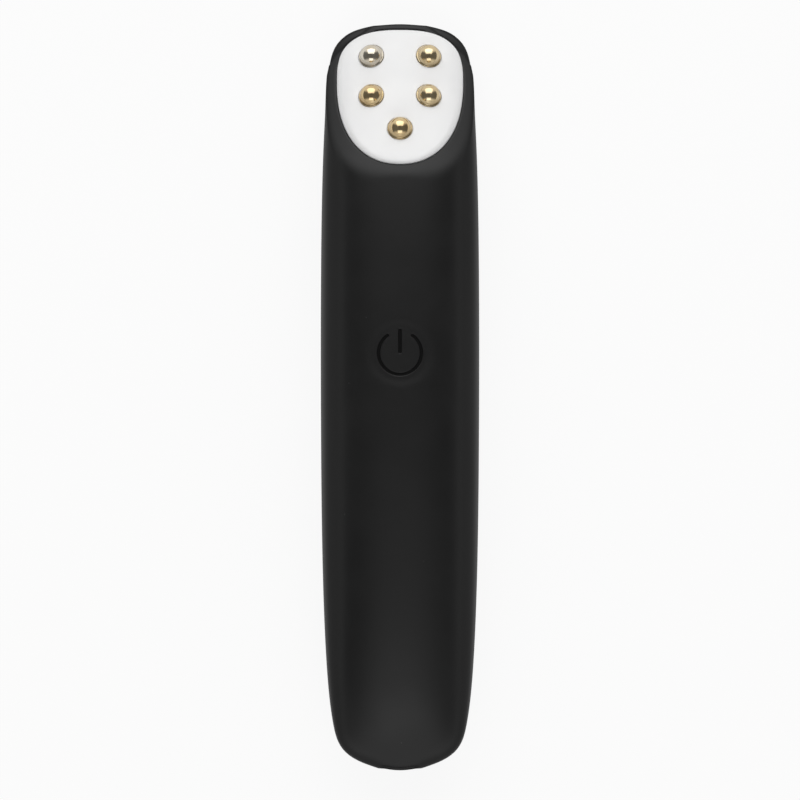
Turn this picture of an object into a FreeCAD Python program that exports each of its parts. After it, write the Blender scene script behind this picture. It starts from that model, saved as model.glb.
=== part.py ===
import FreeCAD, Part
import math
import os
import re
import Sketcher

# Heated eye massager wand, lying on its back. Millimetres.
# X runs across the wand, Y towards the head, Z up out of the front face.
# The origin is the middle of the length and width, on the flat of the back.

V = FreeCAD.Vector
doc = FreeCAD.newDocument("eye_massager_wand")

SIZES = {
    # outer form
    "wand_half_width": 17.02,
    "tail_reach": 90.2,
    "head_reach": 70.0,
    "widest_station": 10.0,
    "seam_height": 10.7,
    "front_rise": 15.3,
    "back_drop": 10.8,
    "tail_squareness": 8.7,
    "head_squareness": 10.5,
    "tail_end_half_width": 3.5,
    "head_end_half_width": 4.8,
    "end_half_depth": 1.0,
    "tail_seam_lift": 0.8,
    "head_seam_drop": 4.5,
    # walls
    "skin_wall": 1.5,
    "skin_gap": 0.1,
    "shell_wall": 1.6,
    # slanted head
    "head_tilt": 29.0,
    "head_crown": 34.0,
    "head_middle_along": 64.35,
    "head_middle_height": 15.2,
    # treatment plate
    "plate_half_width": 13.6,
    "plate_to_tip": 11.6,
    "plate_to_heel": 21.7,
    "plate_shift": 5.0,
    "plate_proud": 0.3,
    "plate_wall": 1.9,
    "plate_clearance": 0.05,
    "plate_bevel": 0.5,
    "ledge": 1.6,
    "skirt_wall": 1.0,
    "skirt_depth": 1.0,
    # massage beads
    "bead_radius": 2.7,
    "bead_sink": 0.1,
    "bead_seat": 0.25,
    "bead_stem": 1.1,
    "bead_stem_length": 3.1,
    "bead_spread": 6.16,
    "bead_top_row": 10.1,
    "bead_middle_row": 0.3,
    "bead_bottom_row": -8.1,
    "ring_radius": 2.2,
    "ring_wall": 0.5,
    # heating
    "spreader_wall": 0.8,
    "film_wall": 0.2,
    "stem_window": 2.7,
    # power key
    "key_along": 9.45,
    "key_hole_radius": 6.6,
    "key_radius": 5.4,
    "key_drop": 0.3,
    "key_under": 24.3,
    "membrane_drop": 0.35,
    "membrane_wall": 0.5,
    "post_plate_radius": 4.0,
    "post_plate_wall": 1.0,
    "post_radius": 1.5,
    "key_shell_hole": 5.8,
    # circuit board
    "board_height": 12.9,
    "board_wall": 1.0,
    "board_half_width": 8.4,
    "board_tail_half_width": 5.5,
    "board_head_end": 24.0,
    "board_tail_end": -74.8,
    "board_step": -58.0,
    "board_clearance": 0.25,
    # tact switch
    "switch_side": 6.0,
    "switch_body": 3.5,
    "plunger_radius": 1.75,
    "plunger_clearance": 0.06,
    "plunger_top": 19.0,
    "plunger_length": 2.5,
    # charging socket
    "socket_half_width": 3.75,
    "socket_depth": 2.7,
    "socket_length": 5.2,
    "socket_mouth": -78.2,
    "socket_wall": 0.35,
    "port_half_width": 4.45,
    "port_half_depth": 1.75,
    "port_middle_height": 11.55,
    # battery
    "battery_width": 20.0,
    "battery_length": 40.0,
    "battery_depth": 5.3,
    "battery_tail_end": -57.0,
    "battery_height": 4.8,
    "foam_width": 14.0,
    "foam_height": 3.95,
    # vibration motor
    "motor_height": 7.5,
    "motor_tail_end": 28.0,
    "motor_length": 14.0,
    "can_radius": 3.5,
    "can_wall": 0.3,
    "motor_shaft_radius": 0.5,
    "bush_radius": 0.9,
    "weight_radius": 3.2,
    "weight_start": 44.5,
    "weight_length": 5.0,
    "boot_half_width": 4.6,
    # screws
    "screw_front_half_pitch": 11.2,
    "screw_front_along": 22.0,
    "screw_rear_half_pitch": 9.0,
    "screw_rear_along": -64.0,
    "screw_seat": 6.4,
    "screw_head_radius": 1.8,
    "screw_head": 1.3,
    "screw_radius": 0.95,
    "screw_top": 14.0,
    "board_screw_half_pitch": 7.0,
    "board_screw_along": 15.0,
    "board_screw_tail": -60.5,
    "board_screw_radius": 0.75,
    "board_screw_head": 1.5,
    # leads
    "lead_radius": 0.5,
}

sheet = doc.addObject("Spreadsheet::Sheet", "Sizes")
for row, (alias, number) in enumerate(SIZES.items(), start=1):
    sheet.set(f"A{row}", alias)
    sheet.set(f"B{row}", str(number))
    sheet.setAlias(f"B{row}", alias)
doc.recompute()


# ---------------------------------------------------------------- helpers


def size(alias):
    """The number in a cell of the sheet."""
    return float(getattr(sheet, alias))


def cells(text):
    """The expression with each alias written as a reference to the sheet."""
    return re.sub(
        r"[a-z][a-z_]+", lambda word: f"Sizes.{word[0]}" if word[0] in SIZES else word[0], str(text)
    )


def value(text):
    """What an expression in the sheet's aliases comes to."""
    return float(sheet.evalExpression(cells(text)))


def bind(thing, **sizes):
    """Bind properties of an object to expressions in the sheet's aliases."""
    for name, text in sizes.items():
        thing.setExpression(name, cells(text))


def place_at(thing, corner):
    """Bind the three coordinates of an object's place."""
    for axis, text in zip("xyz", corner):
        thing.setExpression(f"Placement.Base.{axis}", cells(text))


def box(label, lengths, corner):
    thing = doc.addObject("Part::Box", label)
    bind(thing, Length=lengths[0], Width=lengths[1], Height=lengths[2])
    place_at(thing, corner)
    return thing


def cylinder(label, radius, height, base, along_y=False):
    """A cylinder that stands on its base, or lies along Y from its base."""
    thing = doc.addObject("Part::Cylinder", label)
    bind(thing, Radius=radius, Height=height)
    if along_y:
        thing.Placement.Rotation = FreeCAD.Rotation(V(1, 0, 0), -90)
    place_at(thing, base)
    return thing


def cut(label, base, tool):
    thing = doc.addObject("Part::Cut", label)
    thing.Base = base
    thing.Tool = tool
    thing.Refine = False
    return thing


def common(label, base, tool):
    thing = doc.addObject("Part::Common", label)
    thing.Base = base
    thing.Tool = tool
    thing.Refine = False
    return thing


def fuse(label, pieces):
    thing = doc.addObject("Part::MultiFuse", label)
    thing.Shapes = pieces
    thing.Refine = False
    return thing


def group(label, pieces):
    """Separate solids that share one node."""
    thing = doc.addObject("Part::Compound", label)
    thing.Links = pieces
    return thing


def shaped(label, shape, place=None):
    """A piece whose form is worked out in code."""
    thing = doc.addObject("Part::Feature", label)
    thing.Shape = shape
    if place is not None:
        thing.Placement = place
    return thing


def new_body(label):
    return doc.addObject("PartDesign::Body", label)


def sketch_on(body, role, lift="0"):
    """A sketch on one of the body's own origin planes, lifted off it."""
    plane = next(f for f in body.Origin.OriginFeatures if f.Role == role)
    sketch = body.newObject("Sketcher::SketchObject", f"{body.Label}_sketch")
    sketch.AttachmentSupport = [(plane, "")]
    sketch.MapMode = "FlatFace"
    sketch.setExpression("AttachmentOffset.Base.z", cells(lift))
    return sketch


def hold(sketch, geometry, point, corner):
    """Fix a point of a sketch by expressions for its two coordinates."""
    for kind, axis, text in (("DistanceX", -2, corner[0]), ("DistanceY", -1, corner[1])):
        amount = value(text)
        if abs(amount) < 1e-9:
            sketch.addConstraint(Sketcher.Constraint("PointOnObject", geometry, point, axis))
            continue
        held = sketch.addConstraint(Sketcher.Constraint(kind, -1, 1, geometry, point, amount))
        sketch.setExpression(f"Constraints[{held}]", cells(text))


def outline(sketch, corners):
    """A closed outline of straight runs; each corner is two expressions."""
    spots = [V(value(x), value(y), 0) for x, y in corners]
    first = sketch.GeometryCount
    for here, there in zip(spots, spots[1:] + spots[:1]):
        sketch.addGeometry(Part.LineSegment(here, there))
    last = sketch.GeometryCount - 1
    for line in range(first, last + 1):
        following = line + 1 if line < last else first
        sketch.addConstraint(Sketcher.Constraint("Coincident", line, 2, following, 1))
    for line, corner in zip(range(first, last + 1), corners):
        hold(sketch, line, 1, corner)


def rectangle(sketch, half_width, bottom, top):
    """A rectangle about the sketch's vertical axis."""
    left = f"-({half_width})"
    outline(sketch, [(left, bottom), (half_width, bottom), (half_width, top), (left, top)])


def circle(sketch, radius, middle=("0", "0")):
    place = V(value(middle[0]), value(middle[1]), 0)
    ring = sketch.addGeometry(Part.Circle(place, V(0, 0, 1), value(radius)))
    hold(sketch, ring, 3, middle)
    held = sketch.addConstraint(Sketcher.Constraint("Radius", ring, value(radius)))
    sketch.setExpression(f"Constraints[{held}]", cells(radius))


def pad(body, sketch, length):
    feature = body.newObject("PartDesign::Pad", f"{body.Label}_pad")
    feature.Profile = sketch
    bind(feature, Length=length)
    sketch.Visibility = False
    return feature


def pocket(body, sketch, length, reverse=False):
    """A pocket that must take something away."""
    doc.recompute()
    before = body.Shape.Volume
    feature = body.newObject("PartDesign::Pocket", f"{body.Label}_pocket")
    feature.Profile = sketch
    feature.Reversed = reverse
    bind(feature, Length=length)
    doc.recompute()
    if body.Shape.Volume > before - 1e-6:
        raise RuntimeError(f"a pocket of {body.Label} cuts nothing")
    return feature


def revolve(body, sketch):
    """The whole turn of a sketch about its vertical axis."""
    feature = body.newObject("PartDesign::Revolution", f"{body.Label}_revolution")
    feature.Profile = sketch
    feature.ReferenceAxis = (sketch, ["V_Axis"])
    feature.Angle = 360
    return feature


# ---------------------------------------------------------------- the wand's outer form

HALF_STATIONS = 6
SECTION_POINTS = 16
LENGTH_POWER = 2.6
FRONT_POWER = 2.3
BACK_POWER = 3.0
HEAD_RISE_POWER = 3.5
BACK_END_POWER = 8.0
BACK_END_ROOT = 2.5


def power(number, exponent):
    return math.copysign(abs(number) ** exponent, number)


def unit_section():
    """A closed curve of half-width and half-height 1: a soft dome over a squarer back."""
    points = []
    for step in range(SECTION_POINTS):
        turn = 2 * math.pi * step / SECTION_POINTS
        squareness = FRONT_POWER if math.sin(turn) >= 0 else BACK_POWER
        across = power(math.cos(turn), 2 / squareness)
        up = power(math.sin(turn), 2 / squareness)
        points.append(V(across, 0, up))
    curve = Part.BSplineCurve()
    curve.interpolate(Points=points, PeriodicFlag=True)
    return curve


def station(step, inset):
    """Place, half-width, seam height, rise and drop of one of the form's stations."""
    head = step > 0
    reach = size("head_reach" if head else "tail_reach") - inset
    squareness = size("head_squareness" if head else "tail_squareness")
    along = abs(math.sin(math.pi / 2 * step / HALF_STATIONS)) ** (2 / LENGTH_POWER)
    left = max(0.0, 1 - along**LENGTH_POWER)
    half_width = (size("wand_half_width") - inset) * left ** (1 / squareness)
    rise_power = HEAD_RISE_POWER if head else LENGTH_POWER
    rise = (size("front_rise") - inset) * max(0.0, 1 - along**rise_power) ** 0.5
    drop = (size("back_drop") - inset) * max(0.0, 1 - along**BACK_END_POWER) ** (1 / BACK_END_ROOT)
    shift = -size("head_seam_drop") if head else size("tail_seam_lift")
    seam = size("seam_height") + shift * along**4
    if abs(step) == HALF_STATIONS:
        half_width = size("head_end_half_width" if head else "tail_end_half_width")
        rise = size("end_half_depth")
        drop = rise
    place = size("widest_station") + math.copysign(reach * along, step)
    return place, half_width, seam, rise, drop


def bar_surface(inset):
    """The wand's smooth skin surface, drawn in by inset all round."""
    section = unit_section()
    rows = []
    for step in range(-HALF_STATIONS, HALF_STATIONS + 1):
        place, half_width, seam, rise, drop = station(step, inset)
        rows.append(
            [
                V(half_width * pole.x, place, seam + (rise if pole.z > 0 else drop) * pole.z)
                for pole in section.getPoles()
            ]
        )
    spans = len(rows) - 3
    poles = [list(column) for column in zip(*rows)]
    surface = Part.BSplineSurface()
    surface.buildFromPolesMultsKnots(
        poles,
        section.getMultiplicities(),
        [4] + [1] * (spans - 1) + [4],
        section.getKnots(),
        [knot / spans for knot in range(spans + 1)],
        True,
        False,
        3,
        3,
    )
    return surface


def closed_form(label, faces):
    """The solid that the faces close."""
    shell = Part.makeShell(faces)
    shell.sewShape()
    solid = Part.makeSolid(shell)
    if solid.Volume < 0:
        solid.reverse()
    return shaped(label, solid)


SKIN_BANDS = 44
HIDDEN_BANDS = 16
HIDDEN_SIDES = 28


def skin_form(label):
    """The smooth solid inside the skin's surface."""
    surface = bar_surface(0.0)
    start, end = surface.bounds()[:2]
    places = [band / SKIN_BANDS for band in range(SKIN_BANDS + 1)]
    faces = [surface.toShape(start, end, low, high) for low, high in zip(places, places[1:])]
    for place in (places[0], places[-1]):
        faces.append(Part.Face(Part.Wire([surface.vIso(place).toShape()])))
    return closed_form(label, faces)


def hidden_form(label, inset):
    """The same form drawn in by inset, with small flat facets, for surfaces nobody sees."""
    surface = bar_surface(value(inset))
    start, end = surface.bounds()[:2]
    turns = [start + (end - start) * side / HIDDEN_SIDES for side in range(HIDDEN_SIDES)]
    rings = [
        [surface.value(turn, band / HIDDEN_BANDS) for turn in turns] for band in range(HIDDEN_BANDS + 1)
    ]
    facets = [rings[0], rings[-1]]
    for near, far in zip(rings, rings[1:]):
        for side in range(HIDDEN_SIDES):
            after = (side + 1) % HIDDEN_SIDES
            facets.append([near[side], near[after], far[after]])
            facets.append([near[side], far[after], far[side]])
    faces = [Part.Face(Part.makePolygon(facet + [facet[0]])) for facet in facets]
    return closed_form(label, faces)


# ---------------------------------------------------------------- the slanted head

head_place = FreeCAD.Placement(
    V(0, size("head_middle_along"), size("head_middle_height")),
    FreeCAD.Rotation(V(1, 0, 0), -size("head_tilt")),
)
HEAD_SPAN = 100.0
HEAD_BACK = 55.0


def in_head(place):
    return head_place.multiply(place)


def crown(label, depth):
    """A long drum whose top is the head's slanted, rounded face, lowered by depth."""
    thing = doc.addObject("Part::Cylinder", label)
    bind(thing, Radius=f"head_crown - ({depth})", Height=str(HEAD_SPAN))
    lying = FreeCAD.Rotation(V(1, 0, 0), -90)
    thing.Placement = in_head(FreeCAD.Placement(V(0, -HEAD_BACK, -size("head_crown")), lying))
    return thing


def head_cutter(label, depth):
    """Everything of the head that lies above its slanted face, lowered by depth."""
    block = doc.addObject("Part::Box", f"{label}_block")
    bind(block, Length="50", Width="80", Height="40")
    block.Placement = in_head(FreeCAD.Placement(V(-25, -45, -14), FreeCAD.Rotation()))
    return cut(label, block, crown(f"{label}_crown", depth))


def plate_wire(inset):
    """The plate's outline: two soft halves, the longer one towards the heel."""
    points = []
    steps = 24
    for step in range(steps):
        turn = 2 * math.pi * step / steps
        up = math.sin(turn) >= 0
        squareness = 3.2 if up else 2.15
        reach = size("plate_to_tip" if up else "plate_to_heel") - inset
        across = (size("plate_half_width") - inset) * power(math.cos(turn), 2 / squareness)
        along = size("plate_shift") + reach * power(math.sin(turn), 2 / squareness)
        points.append(V(across, along, 0))
    curve = Part.BSplineCurve()
    curve.interpolate(Points=points, PeriodicFlag=True)
    return Part.Wire([curve.toShape()])


def plate_prism(label, inset, low, high):
    """The plate's outline drawn in by inset and run from low to high across the head face."""
    face = Part.Face(plate_wire(value(inset)))
    face.translate(V(0, 0, value(low)))
    return shaped(label, face.extrude(V(0, 0, value(high) - value(low))), head_place)


def plate_opening(label, inset, depth):
    """The plate's outline cut down through the head face to a depth that follows its curve."""
    return cut(label, plate_prism(f"{label}_prism", inset, "-8", "8"), crown(f"{label}_floor", depth))


def shell_between(label, depth, lower):
    """The curved sheet between two depths under the head's face."""
    return cut(label, crown(f"{label}_upper", depth), crown(f"{label}_lower", lower))


def bead_place(across, along):
    """On the plate's top, square to it, at a distance across and along the head."""
    top = size("head_crown") + size("plate_proud")
    lean = math.asin(across / top)
    spot = V(across, along, top * math.cos(lean) - size("head_crown"))
    leaning = FreeCAD.Rotation(V(0, 1, 0), math.degrees(lean))
    return in_head(FreeCAD.Placement(spot, leaning))


BEADS = {
    "massage_bead_top_left": (-size("bead_spread"), size("bead_top_row")),
    "massage_bead_top_right": (size("bead_spread"), size("bead_top_row")),
    "massage_bead_middle_left": (-size("bead_spread"), size("bead_middle_row")),
    "massage_bead_middle_right": (size("bead_spread"), size("bead_middle_row")),
    "massage_bead_bottom": (0.0, size("bead_bottom_row")),
}


def bead_pins(label, radius, low, high):
    """Round pins at the five bead places, square to the plate, from low to high."""
    pins = []
    for name, spot in BEADS.items():
        pin = doc.addObject("Part::Cylinder", f"{label}_{name}")
        bind(pin, Radius=radius, Height=f"({high}) - ({low})")
        rise = FreeCAD.Placement(V(0, 0, value(low)), FreeCAD.Rotation())
        pin.Placement = bead_place(*spot).multiply(rise)
        pins.append(pin)
    return group(label, pins)


# ---------------------------------------------------------------- screws and their holes


def housing_screw_spots():
    front = size("screw_front_half_pitch"), size("screw_front_along")
    rear = size("screw_rear_half_pitch"), size("screw_rear_along")
    return [(side * across, along) for across, along in (front, rear) for side in (-1, 1)]


def board_screw_spots():
    across, along = size("board_screw_half_pitch"), size("board_screw_along")
    return [(-across, along), (across, along), (0.0, size("board_screw_tail"))]


def pillars(label, spots, radius, low, high):
    """Upright cylinders at the given spots."""
    return [
        cylinder(f"{label}_{number}", radius, f"({high}) - ({low})", (x, y, low))
        for number, (x, y) in enumerate(spots, start=1)
    ]


# ---------------------------------------------------------------- skin and key


def silicone_sleeve():
    """The stretch-on skin, open at the plate, the key and the charging port."""
    outer = cut("skin_outer", skin_form("skin_form"), head_cutter("skin_cut", "0"))
    inner_form = hidden_form("skin_inner_form", "skin_wall")
    inner = cut("skin_inner", inner_form, head_cutter("skin_inner_cut", "skin_wall"))
    walls = cut("skin_walls", outer, inner)
    mouth = plate_opening("skin_mouth", "0", "skin_wall + skin_gap / 2")
    key_hole = cylinder("skin_key_hole", "key_hole_radius", "8", ("0", "key_along", "20"))
    port = doc.addObject("Part::Feature", "skin_port")
    port.Shape = rounded_bar(size("port_half_width"), size("port_half_depth"), 6.0)
    port.Placement.Base = V(0, -82, size("port_middle_height"))
    under_back = box("under_back", ("60", "200", "5"), ("-30", "-100", "-5"))
    openings = group("skin_openings", [mouth, key_hole, port, under_back])
    return cut("silicone_sleeve", walls, openings)


def rounded_bar(half_width, half_depth, length):
    """A bar along Y with a section of two half rounds and two flats."""
    straight = half_width - half_depth
    corners = [V(straight, 0, half_depth), V(-straight, 0, half_depth)]
    low = [V(-straight, 0, -half_depth), V(straight, 0, -half_depth)]
    wire = Part.Wire(
        [
            Part.LineSegment(corners[0], corners[1]).toShape(),
            Part.Arc(corners[1], V(-half_width, 0, 0), low[0]).toShape(),
            Part.LineSegment(low[0], low[1]).toShape(),
            Part.Arc(low[1], V(half_width, 0, 0), corners[0]).toShape(),
        ]
    )
    return Part.Face(wire).extrude(V(0, length, 0))


def lowered_skin(label, drop):
    """The skin's outer form, lowered."""
    thing = shaped(label, doc.getObject("skin_form").Shape.copy())
    place_at(thing, ("0", "0", f"-({drop})"))
    return thing


def power_key_pad():
    """The round pad of the key, its top following the skin a little lower."""
    blank = cylinder("key_blank", "key_radius", "4", ("0", "key_along", "key_under"))
    return common("power_key_pad", blank, lowered_skin("key_top_form", "key_drop"))


def key_membrane():
    """The thin ring of skin that lets the key go down."""
    gap = "plate_clearance"
    base = ("0", "key_along", "23")
    outer = cylinder("membrane_outer", f"key_hole_radius - {gap}", "5", base)
    inner = cylinder("membrane_inner", f"key_radius + {gap}", "5", base)
    ring = cut("membrane_ring", outer, inner)
    top = common("membrane_top", ring, lowered_skin("membrane_form", "membrane_drop"))
    under = lowered_skin("membrane_under_form", "membrane_drop + membrane_wall")
    return cut("key_membrane", top, under)


def key_actuator():
    """The post under the key pad that reaches the switch."""
    body = new_body("key_actuator")
    face = sketch_on(body, "XZ_Plane")
    low = "plunger_top + 0.05"
    neck = "key_under - post_plate_wall"
    corners = [
        ("0", low),
        ("post_radius", low),
        ("post_radius", neck),
        ("post_plate_radius", neck),
        ("post_plate_radius", "key_under"),
        ("0", "key_under"),
    ]
    outline(face, corners)
    revolve(body, face)
    place_at(body, ("0", "key_along", "0"))
    return body


# ---------------------------------------------------------------- housings


def housing_shell():
    """The hollow hard housing before it is split into front and back."""
    outside = "skin_wall + skin_gap"
    inside = f"{outside} + shell_wall"
    outer = cut("shell_outer", hidden_form("shell_form", outside), head_cutter("shell_cut", outside))
    inner = cut("shell_inner", hidden_form("cavity_form", inside), head_cutter("cavity_cut", inside))
    window = plate_opening("shell_window", "ledge", f"{inside} + 0.1")
    mouth = box(
        "shell_port",
        ("2 * socket_half_width + 0.6", "8", "socket_depth + 0.9"),
        ("-socket_half_width - 0.3", "-83", "port_middle_height - socket_depth / 2 - 0.6"),
    )
    walls = cut("shell_walls", outer, inner)
    return cut("shell_open", walls, group("shell_openings", [window, mouth]))


def rebate(label, outer_inset, inner_inset, low, high):
    """A low ring in the thickness of the housing wall, between two heights."""
    outer = hidden_form(f"{label}_outer", outer_inset)
    ring = cut(f"{label}_ring", outer, hidden_form(f"{label}_inner", inner_inset))
    slab = box(f"{label}_slab", ("60", "200", f"({high}) - ({low})"), ("-30", "-100", low))
    return common(label, ring, slab)


def front_housing(shell):
    """The housing's front half: head window, key hole, screw bosses and tongue."""
    above = box("front_side", ("60", "200", "40"), ("-30", "-100", "seam_height"))
    half = common("front_half", shell, above)
    room = doc.getObject("shell_outer")
    bosses = group("front_bosses", pillars("front_boss", housing_screw_spots(), "2.2", "seam_height", "24"))
    seated = common("front_bosses_seated", bosses, room)
    wall = "skin_wall + skin_gap"
    tongue = rebate(
        "front_tongue", f"{wall} + 0.85", f"{wall} + shell_wall", "seam_height - 1", "seam_height + 0.3"
    )
    whole = fuse("front_whole", [half, seated, tongue])
    holes = pillars(
        "front_pilot", housing_screw_spots(), "screw_radius + 0.03", "seam_height - 2", "screw_top + 0.6"
    )
    key_way = cylinder("front_key_way", "key_shell_hole", "12", ("0", "key_along", "16"))
    board_room = box(
        "front_board_room",
        (
            "2 * (board_tail_half_width + board_clearance)",
            "10",
            "board_wall + 2 * board_clearance",
        ),
        (
            "-board_tail_half_width - board_clearance",
            "board_tail_end - board_clearance",
            "board_height - board_clearance",
        ),
    )
    shared = [doc.getObject(name) for name in ("shell_port", "shell_window", "shell_cut")]
    openings = fuse("front_openings", holes + [key_way, board_room] + shared)
    return cut("front_housing", whole, openings)


def back_housing(shell):
    """The housing's back half: screw posts, board posts, battery stops and motor cradle."""
    below = box("back_side", ("60", "200", "40"), ("-30", "-100", "seam_height - 40"))
    half = common("back_half", shell, below)
    wall = "skin_wall + skin_gap"
    step = rebate(
        "back_rebate", f"{wall} + 0.8", f"{wall} + shell_wall + 0.4", "seam_height - 1.05", "seam_height + 1"
    )
    stepped = cut("back_stepped", half, step)
    inside = hidden_form("back_inside", f"{wall} + 0.4")
    posts = pillars("screw_post", housing_screw_spots(), "2.7", "0", "seam_height - 1.1")
    posts += pillars("board_post", board_screw_spots(), "1.8", "0", "board_height")
    posts.append(box("battery_stop_tail", ("14", "1", "7"), ("-7", "battery_tail_end - 1.3", "1")))
    head_stop = "battery_tail_end + battery_length + 0.3"
    posts.append(box("battery_stop_head", ("14", "1", "7"), ("-7", head_stop, "1")))
    for side, corner in (("left", "-boot_half_width - 1.25"), ("right", "boot_half_width + 0.05")):
        spot = (corner, "motor_tail_end + 3", "1")
        posts.append(box(f"motor_rib_{side}", ("1.2", "8", "8"), spot))
    seated = common("back_posts_seated", group("back_posts", posts), inside)
    whole = fuse("back_whole", [stepped, seated])
    cuts = pillars("screw_way", housing_screw_spots(), "screw_radius + 0.15", "0", "seam_height + 1")
    cuts += pillars("screw_sink", housing_screw_spots(), "screw_head_radius + 0.1", "-1", "screw_seat")
    cuts += pillars("board_pilot", board_screw_spots(), "board_screw_radius + 0.03", "6", "board_height + 1")
    return cut("back_housing", whole, group("back_openings", cuts))


def housing_screws():
    """Four screws that go in from the back, heads down."""
    screws = []
    for number, (x, y) in enumerate(housing_screw_spots(), start=1):
        head = cylinder(
            f"screw_head_{number}", "screw_head_radius", "screw_head", (x, y, "screw_seat - screw_head")
        )
        shank = cylinder(
            f"screw_shank_{number}", "screw_radius", "screw_top - screw_seat", (x, y, "screw_seat")
        )
        slot = box(
            f"screw_slot_{number}",
            ("2.4", "0.5", "0.6"),
            (x - 1.2, y - 0.25, "screw_seat - screw_head - 0.1"),
        )
        screws.append(cut(f"screw_{number}", fuse(f"screw_blank_{number}", [head, shank]), slot))
    return group("housing_screws", screws)


# ---------------------------------------------------------------- treatment head


def bevel_top_edge(label, base, width):
    """The base with the long edge round its top taken off at a slant."""
    doc.recompute()
    lengths_and_tops = [(edge.Length > 60, edge.BoundBox.ZMax) for edge in base.Shape.Edges]
    top_edge = lengths_and_tops.index(max(lengths_and_tops)) + 1
    thing = doc.addObject("Part::Chamfer", label)
    thing.Base = base
    thing.Edges = [(top_edge, size(width), size(width))]
    return thing


def treatment_plate():
    """The curved plate with its skirt, bead seats and stem holes."""
    under = "plate_wall - plate_proud"
    prism = plate_prism("plate_blank", "plate_clearance", "-8", "6")
    sheet_form = common("plate_sheet", prism, shell_between("plate_layer", "-plate_proud", under))
    skirt_out = "ledge + plate_clearance"
    bevelled = bevel_top_edge("plate_bevelled", sheet_form, "plate_bevel")
    ring = cut(
        "skirt_ring",
        plate_prism("skirt_outer", skirt_out, "-8", "4"),
        plate_prism("skirt_inner", f"{skirt_out} + skirt_wall", "-8", "4"),
    )
    band = shell_between("skirt_layer", f"{under} - 0.2", f"{under} + skirt_depth")
    skirt = common("plate_skirt", ring, band)
    whole = fuse("plate_whole", [bevelled, skirt])
    seats = bead_pins("plate_seats", "bead_radius + 0.05", "-bead_seat", "3")
    stems = bead_pins("plate_stem_holes", "bead_stem + 0.05", "-6", "1")
    return cut("treatment_plate", whole, group("plate_holes", [seats, stems]))


def massage_bead(label, spot):
    """A polished dome on a stem that goes through the plate."""
    body = new_body(label)
    face = sketch_on(body, "XZ_Plane")
    low, rim, middle = "-bead_stem_length", "-bead_seat", "-bead_sink"
    corners = [
        ("0", "bead_radius - bead_sink"),
        ("0", low),
        ("bead_stem", low),
        ("bead_stem", rim),
        ("bead_radius", rim),
        ("bead_radius", middle),
    ]
    spots = [V(value(x), value(y), 0) for x, y in corners]
    for here, there in zip(spots, spots[1:]):
        face.addGeometry(Part.LineSegment(here, there))
    centre = V(0, value(middle), 0)
    quarter = Part.ArcOfCircle(Part.Circle(centre, V(0, 0, 1), size("bead_radius")), 0, math.pi / 2)
    arc = face.addGeometry(quarter)
    for line in range(len(spots) - 2):
        face.addConstraint(Sketcher.Constraint("Coincident", line, 2, line + 1, 1))
    face.addConstraint(Sketcher.Constraint("Coincident", arc - 1, 2, arc, 1))
    face.addConstraint(Sketcher.Constraint("Coincident", arc, 2, 0, 1))
    face.addConstraint(Sketcher.Constraint("PointOnObject", arc, 3, -2))
    for line, corner in enumerate(corners[:-1]):
        hold(face, line, 1, corner)
    hold(face, arc - 1, 2, corners[-1])
    revolve(body, face)
    body.Placement = bead_place(*spot)
    return body


def bead_retaining_rings():
    """Push-on rings that hold the bead stems under the plate."""
    low = "-(plate_wall + 0.1 + ring_wall)"
    discs = bead_pins("ring_discs", "ring_radius", low, f"{low} + ring_wall")
    holes = bead_pins("ring_holes", "bead_stem", f"{low} - 1", "0")
    return cut("bead_retaining_rings", discs, holes)


def under_plate(label, inset, depth, wall):
    """A curved layer behind the plate with windows for the bead stems."""
    blank = plate_prism(f"{label}_blank", inset, "-8", "4")
    layer = shell_between(f"{label}_layer", depth, f"{depth} + {wall}")
    sheet_form = common(f"{label}_sheet", blank, layer)
    return cut(label, sheet_form, bead_pins(f"{label}_windows", "stem_window", "-8", "1"))


def heat_spreader():
    inset = "ledge + skirt_wall + 2 * plate_clearance"
    return under_plate("heat_spreader", inset, "plate_wall - plate_proud + plate_clearance", "spreader_wall")


def heater_film():
    depth = "plate_wall - plate_proud + plate_clearance + spreader_wall"
    return under_plate("heater_film", "ledge + skirt_wall + 1", depth, "film_wall")


def thermistor():
    """A small glass bead sensor on the film, below the middle beads."""
    thing = doc.addObject("Part::Box", "thermistor")
    bind(thing, Length="1.6", Width="3", Height="1")
    depth = value("plate_wall - plate_proud + plate_clearance + spreader_wall + film_wall")
    thing.Placement = in_head(FreeCAD.Placement(V(-0.8, 3.0, -depth - 1.03), FreeCAD.Rotation()))
    return thing


# ---------------------------------------------------------------- circuit board


def main_board():
    body = new_body("main_board")
    face = sketch_on(body, "XY_Plane", "board_height")
    wide, slim = "board_half_width", "board_tail_half_width"
    corners = [
        (f"-{slim}", "board_tail_end"),
        (slim, "board_tail_end"),
        (slim, "board_step"),
        (wide, "board_step + 3"),
        (wide, "board_head_end"),
        (f"-{wide}", "board_head_end"),
        (f"-{wide}", "board_step + 3"),
        (f"-{slim}", "board_step"),
    ]
    outline(face, corners)
    pad(body, face, "board_wall")
    holes = sketch_on(body, "XY_Plane", "board_height + board_wall")
    for side in ("-board_screw_half_pitch", "board_screw_half_pitch"):
        circle(holes, "board_screw_radius + 0.15", (side, "board_screw_along"))
    circle(holes, "board_screw_radius + 0.15", ("0", "board_screw_tail"))
    pocket(body, holes, "board_wall + 1")
    return body


def board_screws():
    top = "board_height + board_wall"
    screws = []
    for number, (x, y) in enumerate(board_screw_spots(), start=1):
        head = cylinder(f"board_screw_head_{number}", "board_screw_head", "0.9", (x, y, top))
        shank = cylinder(f"board_screw_shank_{number}", "board_screw_radius", "5", (x, y, f"{top} - 5"))
        screws.append(fuse(f"board_screw_{number}", [head, shank]))
    return group("board_screws", screws)


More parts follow.
